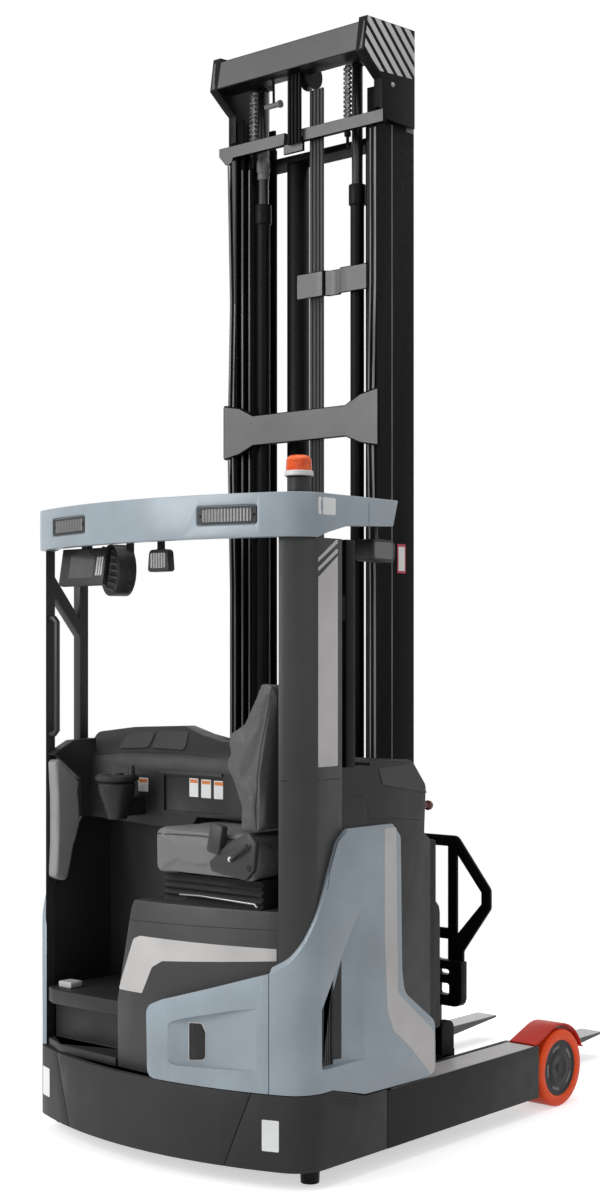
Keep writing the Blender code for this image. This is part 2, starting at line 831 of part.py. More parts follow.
def make_side_cover(ending, side):
    lower_z = SKIRT_TOP_Z + SEAM
    rear_x = -1.503 if side < 0 else -1.47
    outline = rounded(
        [
            (rear_x, lower_z, 0.0),
            (-1.33, lower_z, 0.0),
            (-1.17, 0.262, 0.0),
            (-0.815, 0.2565, 0.02),
            (-0.787, 0.285, 0.02),
            (-0.790, 0.440, 0.04),
            (-0.960, 0.560, 0.06),
            (-0.973, 0.640, 0.04),
            (-0.981, 1.080, 0.03),
            (-1.025, SIDE_COVER_TOP_Z, 0.02),
            (-1.263, SIDE_COVER_TOP_Z, 0.02),
            (-1.310, 1.085, 0.03),
            (-1.350, 0.995, 0.0),
            (-1.400, 0.870, 0.0),
            (-1.440, 0.785, 0.0),
            (-1.470, 0.730, 0.0),
            (-1.503, 0.677, 0.0),
        ][: None if side < 0 else 16],
        3,
    )
    band = rear_band(0.0, COVER_WALL, -0.70)
    cover = plate("side_cover_" + ending, band, "xy", (0.2, SIDE_COVER_TOP_Z + 0.05), BLUE_GREY)
    keep(
        cover,
        plate("side_cover_outline_" + ending, outline, "xz", side_span(side, 0.3, HALF + 0.1), BLUE_GREY),
    )
    if side < 0:
        room = block(
            "side_cover_seam", (-1.7, -1.3), (-SEAM_Y - SEAM / 2, 0.3), (0.2, 1.2), BLUE_GREY
        )
        cut(cover, room)
    if side < 0:
        return add_side_scoop(cover, side)
    recess = plate(
        "side_cover_recess",
        side_scoop_outline(0.0),
        "xz",
        (HALF - LEFT_RECESS_DEPTH, HALF + 0.1),
        BLUE_GREY,
    )
    return cut(cover, recess)


def make_rear_cover():
    band = rear_band(0.0, COVER_WALL, -1.0)
    cover = plate("rear_cover", band, "xy", (0.25, 0.75), BLUE_GREY)
    outline = rounded(
        [
            (-SEAM_Y + SEAM / 2, SKIRT_TOP_Z + SEAM, 0.0),
            (-0.06, SKIRT_TOP_Z + SEAM, 0.03),
            (-0.055, 0.535, 0.04),
            (-0.124, 0.564, 0.0),
            (-0.317, 0.620, 0.0),
            (-SEAM_Y + SEAM / 2, 0.680, 0.0),
        ]
    )
    keep(cover, plate("rear_cover_outline", outline, "yz", (TAIL_X - 0.1, TAIL_X + 0.2), BLUE_GREY))
    depth = BODY_INSET + HOOD_STEP - FIT - COVER_WALL
    foot = SKIRT_TOP_Z + SEAM
    band = rear_band(COVER_WALL - 0.003, depth + 0.003, -1.0)
    rib = plate("rear_cover_rib", band, "xy", (foot, foot + 0.012), BLUE_GREY)
    keep(rib, block("rear_cover_rib_room", (TAIL_X - 0.1, TAIL_X + 0.3), (-0.46, -0.10), (0.2, 0.4), BLUE_GREY))
    join(cover, rib)
    return add_rear_scoop(cover)


# Body behind the covers
BODY_INSET = COVER_WALL + FIT
WALL_FRONT_X = -1.13
BATTERY_REAR_X = -1.11
BATTERY_FRONT_X = -0.835
BATTERY_TOP_Z = 1.04
HOUSING_TOP_Z = 1.33
HOUSING_BOTTOM_Z = 1.07
LEFT_POST_X = (-1.455, -1.410)


def make_body_housing():
    outer = HALF - BODY_INSET
    housing = plate(
        "body_housing",
        rounded(
            [
                (WALL_FRONT_X, HOUSING_BOTTOM_Z, 0.0),
                (-0.835, HOUSING_BOTTOM_Z, 0.01),
                (-0.825, 1.24, 0.03),
                (-0.905, HOUSING_TOP_Z, 0.03),
                (WALL_FRONT_X, HOUSING_TOP_Z, 0.0),
            ]
        ),
        "xz",
        (-outer, outer),
        CHARCOAL,
    )
    wall = block(
        "cab_front_wall",
        (WALL_FRONT_X, WALL_FRONT_X + 0.015),
        (-outer, outer),
        (LEG_TOP_Z + 0.03, HOUSING_TOP_Z - 0.005),
        CHARCOAL,
    )
    wings = []
    rear = PILLAR_FRONT_X + FIT
    edge = [
        (-1.16, SKIRT_TOP_Z + 0.01),
        (-0.80, SKIRT_TOP_Z - 0.035),
        (-0.80, 1.055),
        (-0.84, 1.085),
        (-0.90, HOUSING_TOP_Z - 0.01),
        (rear, HOUSING_TOP_Z - 0.01),
    ]
    liner_x = LEFT_POST_X[1] + FIT
    liner = [(rear, 1.10), (-1.34, 1.0), (liner_x, 0.84), (liner_x, SKIRT_TOP_Z + 0.01)]
    right_end = [(rear, SKIRT_TOP_Z + 0.01)]
    for ending, side, end in (("right", -1, right_end), ("left", 1, liner)):
        wing = plate(
            "body_wing_" + ending,
            edge + end,
            "xz",
            side_span(side, outer - 0.030, outer),
            CHARCOAL,
        )
        shell = rear_outline(BODY_INSET, -0.7)
        keep(wing, plate("body_wing_shell_" + ending, shell, "xy", (0.2, HOUSING_TOP_Z), CHARCOAL))
        wings.append(wing)
    join(housing, wall, *wings)
    return cut(housing, side_scoop_room("wing_scoop_room", -1))


def make_battery():
    return block(
        "battery_block",
        (BATTERY_REAR_X, BATTERY_FRONT_X),
        (-(HALF - 0.065), HALF - 0.065),
        (LEG_TOP_Z + FIT, BATTERY_TOP_Z),
        BLACK_STEEL,
    )


# Pillars and overhead guard
def make_corner_pillar():
    band = rear_band(BODY_INSET, PILLAR_WALL, PILLAR_FRONT_X)
    span = (SKIRT_TOP_Z + FIT, GUARD_BOTTOM_Z - FIT)
    pillar = plate("corner_pillar", band, "xy", span, CHARCOAL)
    region = block(
        "pillar_region",
        (TAIL_X - 0.1, PILLAR_FRONT_X + 0.1),
        (-HALF - 0.1, -PILLAR_REAR_Y),
        (0.0, GUARD_TOP_Z),
        CHARCOAL,
    )
    keep(pillar, region)
    cut(pillar, side_scoop_room("pillar_scoop_room", -1))
    floor_y = -(HALF - SIDE_SCOOP_DEPTH - SCOOP_WALL)
    count = int((SIDE_SCOOP_FLOOR_X - SIDE_SCOOP_REAR_X) / LOUVRE_PITCH)
    for index in range(count):
        x = SIDE_SCOOP_REAR_X + 0.003 + index * LOUVRE_PITCH
        top = 0.550 + (x - SIDE_SCOOP_REAR_X) * 1.6
        groove = block(
            "pillar_louvre_%d" % index,
            (x, x + LOUVRE_WIDTH),
            (floor_y - 0.005, floor_y + 0.012),
            (0.385, top),
            CHARCOAL,
        )
        cut(pillar, groove)
    return pillar


def make_left_guard_frame():
    outer = HALF - BODY_INSET
    span = (outer - POST_DEPTH, outer)
    top = GUARD_BOTTOM_Z - FIT
    rear = plate(
        "left_guard_frame",
        box_outline(LEFT_POST_X, (SKIRT_TOP_Z + FIT, top)),
        "xz",
        span,
        CHARCOAL,
    )
    front = plate(
        "left_front_post",
        [(-1.29, HOUSING_TOP_Z - 0.005), (-1.25, HOUSING_TOP_Z - 0.005), (-1.25, top), (-1.29, top)],
        "xz",
        span,
        CHARCOAL,
    )
    brace = plate(
        "left_brace",
        [(-1.42, 1.90), (-1.28, 1.735), (-1.28, 1.55), (-1.25, 1.55), (-1.25, 1.76), (-1.42, 1.97)],
        "xz",
        span,
        CHARCOAL,
    )
    join(rear, brace, front)
    plan = plate("left_frame_plan", rear_outline(BODY_INSET, -1.0), "xy", (0.1, GUARD_TOP_Z), CHARCOAL)
    return keep(rear, plan)


def make_right_front_post():
    outer = HALF - BODY_INSET
    top = GUARD_BOTTOM_Z - FIT
    post = block(
        "right_front_post",
        (-1.25, -1.205),
        (-outer, -outer + POST_DEPTH),
        (HOUSING_TOP_Z - 0.01 + FIT, top),
        CHARCOAL,
    )
    link = block(
        "pillar_link",
        (PILLAR_FRONT_X + FIT, -1.24),
        (-outer + 0.005, -outer + POST_DEPTH - 0.005),
        (1.79, 1.87),
        CHARCOAL,
    )
    return join(post, link)


def make_guard_fascia():
    """The painted ring round the roof, its front ends slanted and its underside stepped up."""
    band = rear_band(0.0, GUARD_WALL, GUARD_FRONT_X, GUARD_TAIL_X)
    fascia = plate("guard_fascia", band, "xy", (GUARD_BOTTOM_Z, GUARD_TOP_Z), BLUE_GREY)
    front = block(
        "guard_front_beam",
        (GUARD_FRONT_X - GUARD_BEAM_LENGTH, GUARD_FRONT_X),
        (-HALF + 0.001, HALF - 0.001),
        (GUARD_TOP_Z - 0.07, GUARD_TOP_Z),
        BLUE_GREY,
    )
    join(fascia, front)
    across = (-HALF - 0.1, HALF + 0.1)
    under = plate(
        "guard_under_slope",
        [
            (-1.40, GUARD_BOTTOM_Z - 0.1),
            (-1.40, GUARD_BOTTOM_Z),
            (-1.358, GUARD_BOTTOM_Z + 0.016),
            (-1.257, GUARD_BOTTOM_Z + 0.042),
            (GUARD_FRONT_X + 0.1, GUARD_BOTTOM_Z + 0.060),
            (GUARD_FRONT_X + 0.1, GUARD_BOTTOM_Z - 0.1),
        ],
        "xz",
        across,
        BLUE_GREY,
    )
    slant = plate(
        "guard_front_slant",
        [
            (GUARD_FRONT_X - 0.026, GUARD_BOTTOM_Z),
            (GUARD_FRONT_X - 0.026, GUARD_BOTTOM_Z + 0.050),
            (GUARD_FRONT_X, GUARD_TOP_Z - 0.004),
            (GUARD_FRONT_X + 0.1, GUARD_TOP_Z - 0.004),
            (GUARD_FRONT_X + 0.1, GUARD_BOTTOM_Z),
        ],
        "xz",
        across,
        BLUE_GREY,
    )
    cut(fascia, under, slant)
    for ending, low_y, high_y in (("right", -0.482, -0.27), ("left", 0.249, 0.471)):
        recess = plate(
            "lamp_recess_" + ending,
            rear_band(-0.01, 0.01 + LAMP_DEPTH, GUARD_FRONT_X, GUARD_TAIL_X),
            "xy",
            (GUARD_BOTTOM_Z + 0.035, GUARD_TOP_Z - 0.030),
            BLUE_GREY,
        )
        outline = plate(
            "lamp_outline_" + ending,
            box_outline((low_y, high_y), (GUARD_BOTTOM_Z + 0.040, GUARD_TOP_Z - 0.036), 0.01),
            "yz",
            (GUARD_TAIL_X - 0.1, GUARD_TAIL_X + 0.3),
            BLUE_GREY,
        )
        cut(fascia, keep(recess, outline))
    return fascia


def make_roof():
    inset = GUARD_WALL + FIT
    front_x = GUARD_FRONT_X - GUARD_BEAM_LENGTH - FIT
    roof = plate(
        "guard_roof",
        rear_outline(inset, front_x, GUARD_TAIL_X),
        "xy",
        (GUARD_TOP_Z - 0.012 - ROOF_WALL, GUARD_TOP_Z - 0.012),
        CHARCOAL,
    )
    pitch = ROOF_SLOT_WIDTH + ROOF_BAR
    for index in range(ROOF_SLOTS):
        y = (index - (ROOF_SLOTS - 1) / 2) * pitch
        slot = plate(
            "roof_slot_%d" % index,
            box_outline((-1.50, front_x - 0.04), (y - ROOF_SLOT_WIDTH / 2, y + ROOF_SLOT_WIDTH / 2), 0.015, 1),
            "xy",
            (GUARD_TOP_Z - 0.1, GUARD_TOP_Z + 0.1),
            CHARCOAL,
        )
        cut(roof, slot)
    return roof


# Things on the roof and under it
def make_beacon():
    """A socket with a wide ring, and the lens over it."""
    x, y, base = GUARD_FRONT_X - GUARD_BEAM_LENGTH / 2, -0.25, GUARD_TOP_Z + FIT
    profile = [
        (0.0, 0.174),
        (0.030, 0.172),
        (0.042, 0.164),
        (0.046, 0.150),
        (0.046, 0.119),
        (0.050, 0.118),
        (0.050, 0.103),
        (0.046, 0.100),
        (0.039, 0.096),
        (0.039, 0.012),
        (0.050, 0.008),
        (0.050, 0.0),
        (0.0, 0.0),
    ]
    return turned("beacon", profile, (x, y, base), (0, 0, 1), AMBER, 20)


def make_roof_equipment():
    """What hangs from the roof: the operator's display, a fan, a reading lamp and a work light."""
    under = GUARD_TOP_Z - 0.012 - ROOF_WALL - FIT
    inside_x = rear_x(HALF - 0.118, GUARD_WALL, GUARD_TAIL_X)
    display_y = (0.292, HALF - 0.118)
    display = plate(
        "roof_display",
        [
            (inside_x + 0.012, 1.925),
            (inside_x + 0.034, 1.920),
            (inside_x + 0.056, 2.046),
            (inside_x + 0.034, 2.052),
        ],
        "xz",
        display_y,
        CHARCOAL,
    )
    stem_x = inside_x + 0.045
    join(
        display,
        block("display_stem", (stem_x - 0.012, stem_x + 0.012), (0.39, 0.42), (2.0, under), CHARCOAL),
    )
    fan_x, fan_y, fan_z = -1.365, 0.310, 1.975
    ends = (fan_x - 0.030, fan_y + 0.012, fan_z), (fan_x + 0.030, fan_y - 0.012, fan_z)
    fan = rod("cab_fan", *ends, 0.090, CHARCOAL, 24)
    stem = (fan_x - 0.010, fan_x + 0.010), (fan_y - 0.070, fan_y - 0.050), (fan_z + 0.045, under)
    join(fan, block("fan_stem", *stem, CHARCOAL))
    lamp = plate(
        "cab_lamp",
        rounded([(-0.071, 1.956, 0.01), (0.029, 1.956, 0.01), (0.022, 2.030, 0.015), (-0.064, 2.030, 0.015)], 3),
        "yz",
        (-1.50, -1.47),
        CHARCOAL,
    )
    join(lamp, block("lamp_stem", (-1.495, -1.475), (-0.031, -0.011), (2.02, under), CHARCOAL))
    work_y = (-(HALF - 0.012), -(HALF - 0.085))
    work = plate(
        "work_light",
        rounded([(-1.118, 1.990, 0.012), (-1.000, 1.984, 0.012), (-0.992, 2.055, 0.02), (-1.110, 2.062, 0.02)], 3),
        "xz",
        work_y,
        CHARCOAL,
    )
    stem_y = -(HALF - GUARD_WALL - 0.014)
    ceiling = GUARD_TOP_Z - 0.07 - FIT
    join(work, block("work_light_stem", (-1.065, -1.045), (stem_y - 0.01, stem_y + 0.01), (2.05, ceiling), CHARCOAL))


def make_grab_handle():
    face = HALF - BODY_INSET - POST_DEPTH - FIT
    x, y = sum(LEFT_POST_X) / 2, face - 0.034
    low, high = 1.40, 1.81
    bend = 0.014
    route = [
        (x, face, low),
        (x, y + bend, low),
        (x, y, low + bend),
        (x, y, high - bend),
        (x, y + bend, high),
        (x, face, high),
    ]
    return tube("grab_handle", route, 0.011, CHARCOAL)


# Cab inside
CAB_FLOOR_Z = 0.51
DASH_REAR_X = -1.27
STEP_Z = 0.33
HOOD_TOP_Z = 0.87
HOOD_LEFT_Y = 0.130
HOOD_STEP = 0.030
HOOD_WALL = 0.020
FLOOR_RIGHT_Y = HOOD_LEFT_Y + 0.005
FLOOR_LEFT_Y = HALF - 0.080


def make_cab_floor():
    front_x = WALL_FRONT_X - FIT
    floor = plate(
        "cab_floor",
        [
            (-1.48, FLOOR_RIGHT_Y),
            (-1.505, FLOOR_RIGHT_Y + 0.02),
            (-1.500, FLOOR_LEFT_Y - 0.055),
            (-1.470, FLOOR_LEFT_Y),
            (front_x, FLOOR_LEFT_Y),
            (front_x, FLOOR_RIGHT_Y),
        ],
        "xy",
        (CAB_FLOOR_Z - 0.05, CAB_FLOOR_Z),
        CHARCOAL,
    )
    step = plate(
        "cab_step",
        [
            (-1.545, FLOOR_RIGHT_Y),
            (-1.520, FLOOR_LEFT_Y - 0.115),
            (-1.470, FLOOR_LEFT_Y),
            (front_x, FLOOR_LEFT_Y),
            (front_x, FLOOR_RIGHT_Y),
        ],
        "xy",
        (SKIRT_TOP_Z, STEP_Z),
        CHARCOAL,
    )
    back = block(
        "step_wall",
        (-1.44, -1.42),
        (FLOOR_RIGHT_Y, FLOOR_LEFT_Y - 0.005),
        (STEP_Z - 0.01, CAB_FLOOR_Z - 0.02),
        CHARCOAL,
    )
    legs = [
        block(
            "floor_leg_%d" % index,
            (x, x + 0.03),
            (0.30, 0.36),
            (PAN_Z + PAN_WALL + FIT, SKIRT_TOP_Z + 0.01),
            CHARCOAL,
        )
        for index, x in enumerate((-1.45, -1.20))
    ]
    pedal = plate(
        "floor_pedal",
        [
            (-1.36, CAB_FLOOR_Z - 0.01),
            (-1.22, CAB_FLOOR_Z - 0.01),
            (-1.22, CAB_FLOOR_Z + 0.050),
            (-1.23, CAB_FLOOR_Z + 0.050),
        ],
        "xz",
        (0.26, 0.36),
        CHARCOAL,
    )
    return join(floor, back, step, *legs, pedal)


def make_seat_hood():
    """The moulded box over the drive unit, which carries the seat, hollow from below."""
    inset = BODY_INSET + HOOD_STEP
    hood = plate(
        "seat_hood",
        rear_outline(inset, WALL_FRONT_X - FIT),
        "xy",
        (SKIRT_TOP_Z + FIT, HOOD_TOP_Z + 0.05),
        CHARCOAL,
    )
    right_y = -(HALF - 0.060)
    outline = rounded(
        [
            (right_y, SKIRT_TOP_Z - 0.01, 0.0),
            (HOOD_LEFT_Y, SKIRT_TOP_Z - 0.01, 0.0),
            (HOOD_LEFT_Y, 0.530, 0.02),
            (HOOD_LEFT_Y - 0.070, 0.840, 0.03),
            (HOOD_LEFT_Y - 0.085, HOOD_TOP_Z, 0.012),
            (right_y, HOOD_TOP_Z, 0.0),
        ]
    )
    keep(hood, plate("hood_outline", outline, "yz", (TAIL_X - 0.1, -0.9), CHARCOAL))
    corner = block("hood_pillar_room", (-1.7, -1.0), (-0.7, -PILLAR_REAR_Y + 0.002), (0.0, 1.0), CHARCOAL)
    cut(hood, corner)
    cavity = plate(
        "hood_cavity",
        rear_outline(inset + HOOD_WALL, WALL_FRONT_X + 0.05),
        "xy",
        (SKIRT_TOP_Z - 0.05, MOTOR_TOP_Z + 0.03),
        CHARCOAL,
    )
    room = block(
        "hood_cavity_room",
        (TAIL_X - 0.1, WALL_FRONT_X + 0.1),
        (-PILLAR_REAR_Y + 0.066, HOOD_LEFT_Y - 0.065),
        (0.0, 1.0),
        CHARCOAL,
    )
    return cut(hood, keep(cavity, room))


def make_dashboard():
    """The dashboard: a sloping top panel over an upright face, swept back along the left side."""
    front_x = WALL_FRONT_X - FIT
    left_y = HALF - BODY_INSET - POST_DEPTH - 0.002
    dash = plate(
        "dashboard",
        rounded(
            [
                (-0.310, 1.125, 0.02),
                (0.020, 1.125, 0.0),
                (0.060, 1.075, 0.02),
                (left_y, 1.100, 0.0),
                (left_y, 1.400, 0.02),
                (0.413, 1.421, 0.0),
                (0.165, 1.431, 0.02),
                (0.070, 1.405, 0.03),
                (-0.040, 1.385, 0.02),
                (-0.310, 1.370, 0.03),
            ],
            3,
        ),
        "yz",
        (DASH_REAR_X, front_x),
        CHARCOAL,
    )
    profile = [
        (DASH_REAR_X, 1.05),
        (front_x + 0.01, 1.05),
        (front_x + 0.01, 1.50),
        (-1.165, 1.50),
        (-1.180, 1.435),
        (DASH_REAR_X + 0.010, 1.328),
        (DASH_REAR_X, 1.305),
    ]
    keep(dash, plate("dash_profile", profile, "xz", (-HALF, HALF), CHARCOAL))
    panel = block("dash_panel", (DASH_REAR_X - 0.02, DASH_REAR_X + 0.012), (-0.10, 0.182), (1.140, 1.262), CHARCOAL)
    cut(dash, panel)
    sweep = plate(
        "dash_sweep",
        [
            (DASH_REAR_X + 0.02, 1.100),
            (DASH_REAR_X + 0.02, 1.380),
            (-1.360, 1.375),
            (-1.430, 1.342),
            (-1.4525, 1.326),
            (-1.4325, 1.3235),
            (-1.327, 1.2365),
            (-1.3195, 1.100),
        ],
        "xz",
        (left_y - 0.040, left_y),
        CHARCOAL,
    )
    return join(dash, sweep)


def make_side_pad():
    """The padded panel beside the operator's knees."""
    outline = rounded(
        [
            (-1.454, 0.888, 0.02),
            (-1.396, 0.866, 0.02),
            (-1.323, 1.068, 0.03),
            (-1.330, 1.233, 0.03),
            (-1.433, 1.320, 0.01),
            (-1.454, 1.305, 0.01),
        ],
        3,
    )
    outer = HALF - BODY_INSET - POST_DEPTH - FIT
    return plate("side_pad", outline, "xz", (outer - 0.05, outer), SEAT_VINYL)


WHEEL_X = -1.38
WHEEL_Y = 0.30
WHEEL_Z = 1.24


def make_steering():
    """A small steering wheel with a spinner knob, on a pod that stands out from the dashboard."""
    console = turned(
        "steering_console",
        [
            (0.0, WHEEL_Z),
            (0.060, WHEEL_Z),
            (0.067, WHEEL_Z - 0.010),
            (0.062, WHEEL_Z - 0.040),
            (0.044, WHEEL_Z - 0.090),
            (0.034, WHEEL_Z - 0.130),
            (0.0, WHEEL_Z - 0.130),
        ],
        (WHEEL_X, WHEEL_Y, 0.0),
        (0, 0, 1),
        CHARCOAL,
        24,
    )
    arm = block(
        "steering_arm",
        (WHEEL_X, DASH_REAR_X - FIT),
        (WHEEL_Y - 0.028, WHEEL_Y + 0.028),
        (WHEEL_Z - 0.120, WHEEL_Z - 0.055),
        CHARCOAL,
    )
    join(console, arm)
    axis = empty("steering_wheel_axis", (WHEEL_X, WHEEL_Y, WHEEL_Z), TRUCK)
    wheel = turned(
        "steering_wheel",
        [
            (0.0, 0.030),
            (0.022, 0.030),
            (0.028, 0.014),
            (0.056, 0.012),
            (0.060, 0.022),
            (0.068, 0.026),
            (0.076, 0.018),
            (0.076, 0.006),
            (0.068, 0.0),
            (0.0, 0.0),
        ],
        (WHEEL_X, WHEEL_Y, WHEEL_Z + FIT),
        (0, 0, 1),
        CHARCOAL,
        24,
    )
    knob = rod(
        "spinner_knob",
        (WHEEL_X + 0.010, WHEEL_Y - 0.062, WHEEL_Z + 0.010),
        (WHEEL_X + 0.010, WHEEL_Y - 0.062, WHEEL_Z + 0.058),
        0.013,
        CHARCOAL,
        16,
        0.010,
    )
    return carry(join(wheel, knob), axis)


SEAT_X = (-1.50, -1.16)
SEAT_BASE_Z = 0.96
SEAT_TOP_Z = 1.112
BELLOWS_RIBS = 4
BELLOWS_DEPTH = 0.016


def make_seat():
    """The seat, which faces the truck's left side: bellows, pan, back and the recliner's cover."""
    low, high = HOOD_TOP_Z + FIT, SEAT_BASE_Z - FIT
    rear, front = SEAT_X[0] + 0.025, SEAT_X[1] - 0.025
    rib = (high - low) / (2 * BELLOWS_RIBS)
    rear_edge = [(rear + BELLOWS_DEPTH * (step % 2), low + rib * step) for step in range(2 * BELLOWS_RIBS + 1)]
    front_edge = [(front - BELLOWS_DEPTH * (step % 2), low + rib * step) for step in range(2 * BELLOWS_RIBS + 1)]
    suspension = plate(
        "seat_suspension",
        front_edge + list(reversed(rear_edge)),
        "xz",
        (-0.455, -0.020),
        CHARCOAL,
    )
    cushion = plate(
        "seat_cushion",
        rounded(
            [
                (-0.450, SEAT_BASE_Z, 0.015),
                (0.0, SEAT_BASE_Z, 0.025),
                (0.005, SEAT_TOP_Z, 0.030),
                (-0.450, SEAT_TOP_Z, 0.010),
            ],
            3,
        ),
        "yz",
        SEAT_X,
        SEAT_VINYL,
    )
    back = plate(
        "seat_back",
        rounded(
            [
                (-0.466, SEAT_TOP_Z + FIT, 0.01),
                (-0.385, SEAT_TOP_Z + FIT, 0.01),
                (-0.378, 1.196, 0.04),
                (-0.322, 1.321, 0.04),
                (-0.335, 1.429, 0.02),
                (-0.395, 1.462, 0.03),
                (-0.479, 1.594, 0.01),
                (-0.528, 1.594, 0.015),
                (-0.495, 1.440, 0.05),
                (-0.466, 1.300, 0.05),
            ],
            3,
        ),
        "yz",
        SEAT_X,
        SEAT_VINYL,
    )
    bracket_x = SEAT_X[0] - FIT
    recliner = plate(
        "armrest",
        rounded(
            [
                (-0.430, 0.967, 0.01),
                (-0.284, 0.985, 0.01),
                (-0.270, 1.014, 0.01),
                (-0.351, 1.078, 0.02),
                (-0.443, 1.123, 0.02),
                (-0.475, 1.087, 0.02),
                (-0.463, 0.999, 0.02),
            ],
            3,
        ),
        "yz",
        (bracket_x - 0.020, bracket_x),
        CHARCOAL,
    )
    arm = plate(
        "arm_stub",
        rounded([(-0.322, 1.040, 0.008), (-0.268, 1.050, 0.008), (-0.288, 1.142, 0.008), (-0.342, 1.132, 0.008)], 2),
        "yz",
        (bracket_x - 0.030, bracket_x - 0.002),
        CHARCOAL,
    )
    join(recliner, arm)
    return suspension, cushion, back, recliner


# Mast
REACH_AXIS = empty("mast_reach_axis", (-0.64, 0.0, 0.15), TRUCK)
MIDDLE_AXIS = empty("middle_lift_axis", (-0.64, 0.0, 0.15), REACH_AXIS)
INNER_AXIS = empty("inner_lift_axis", (-0.64, 0.0, 0.15), MIDDLE_AXIS)
CARRIAGE_AXIS = empty("carriage_lift_axis", (-0.55, 0.0, 0.15), INNER_AXIS)
SHIFT_AXIS = empty("side_shift_axis", (-0.44, 0.0, 0.5), CARRIAGE_AXIS)
TILT_X = -0.410
TILT_Z = 0.50
TILT_AXIS = empty("fork_tilt_axis", (TILT_X, 0.0, TILT_Z), SHIFT_AXIS)

ROLLER_RADIUS = (LEG_TOP_Z - FLOOR_CLEARANCE - 2 * LEG_WALL) / 2 - 0.0005
ROLLER_Z = (LEG_TOP_Z + FLOOR_CLEARANCE) / 2
ROLLER_X = (-0.955, -0.775)
CARRIAGE_SIDE = HALF - LEG_WIDTH - 0.022


def make_reach_carriage():
    side_bottom = MAST_BOTTOM_Z
    beam = block(
        "reach_carriage",
        (-0.80, MAST_REAR_X - FIT),
        (-CARRIAGE_SIDE, CARRIAGE_SIDE),
        (side_bottom + 0.03, LEG_TOP_Z - 0.01),
        BLACK_STEEL,
    )
    for ending, side in (("right", -1), ("left", 1)):
        cheek = plate(
            "carriage_cheek_" + ending,
            rounded(
                [
                    (-1.02, side_bottom + 0.01, 0.03),
                    (-0.515, side_bottom, 0.03),
                    (-0.515, 0.37, 0.06),
                    (-0.80, 0.37, 0.03),
                    (-0.82, LEG_TOP_Z - 0.008, 0.0),
                    (-1.02, LEG_TOP_Z - 0.008, 0.03),
                ],
                3,
            ),
            "xz",
            side_span(side, MAST_HALF + FIT, CARRIAGE_SIDE),
            BLACK_STEEL,
        )
        join(beam, cheek)
        for index, x in enumerate(ROLLER_X):
            pin = rod(
                "roller_pin_%s_%d" % (ending, index),
                (x, side * (CARRIAGE_SIDE - 0.02), ROLLER_Z),
                (x, side * (HALF - 0.105), ROLLER_Z),
                0.022,
                BLACK_STEEL,
                16,
            )
            roller = rod(
                "roller_%s_%d" % (ending, index),
                (x, side * (HALF - 0.120), ROLLER_Z),
                (x, side * (HALF - 0.040), ROLLER_Z),
                ROLLER_RADIUS,
                BLACK_STEEL,
                32,
            )
            join(beam, pin, roller)
    return carry(beam, REACH_AXIS)


def rail_section(stage, side):
    """A C-shaped rail, open to the centre line: stage 0 is the outer mast."""
    outer = MAST_HALF - stage * STAGE_STEP_Y
    inner = outer - RAIL_LIP
    rear = MAST_REAR_X + stage * STAGE_STEP_X
    front = MAST_FRONT_X - stage * STAGE_STEP_X
    points = [
        (rear, inner),
        (rear, outer),
        (front, outer),
        (front, inner),
        (front - RAIL_FLANGE, inner),
        (front - RAIL_FLANGE, outer - RAIL_WEB),
        (rear + RAIL_FLANGE, outer - RAIL_WEB),
        (rear + RAIL_FLANGE, inner),
    ]
    return [(x, side * y) for x, y in points]


FOOT_X = (-0.662, -0.565)
FOOT_FRONT_X = FOOT_X[1]


def stage_foot(stage):
    """The height of a stage's foot plate: each stage rests just above the one outside it."""
    low = MAST_BOTTOM_Z + stage * FOOT_STEP_Z
    return low, low + FOOT_WALL


UPPER_TIE_Z = (3.543, 3.588)
UPPER_TIE_HALF = 0.392
TIE_GAP_Y = (-0.015, 0.064)
HOSE_BRACKET_Z = (2.972, 3.064)
CHAIN_X = -0.755


def tie(name, x, half, z, look=BLACK_STEEL):
    return block(name, x, (-half, half), z, look)


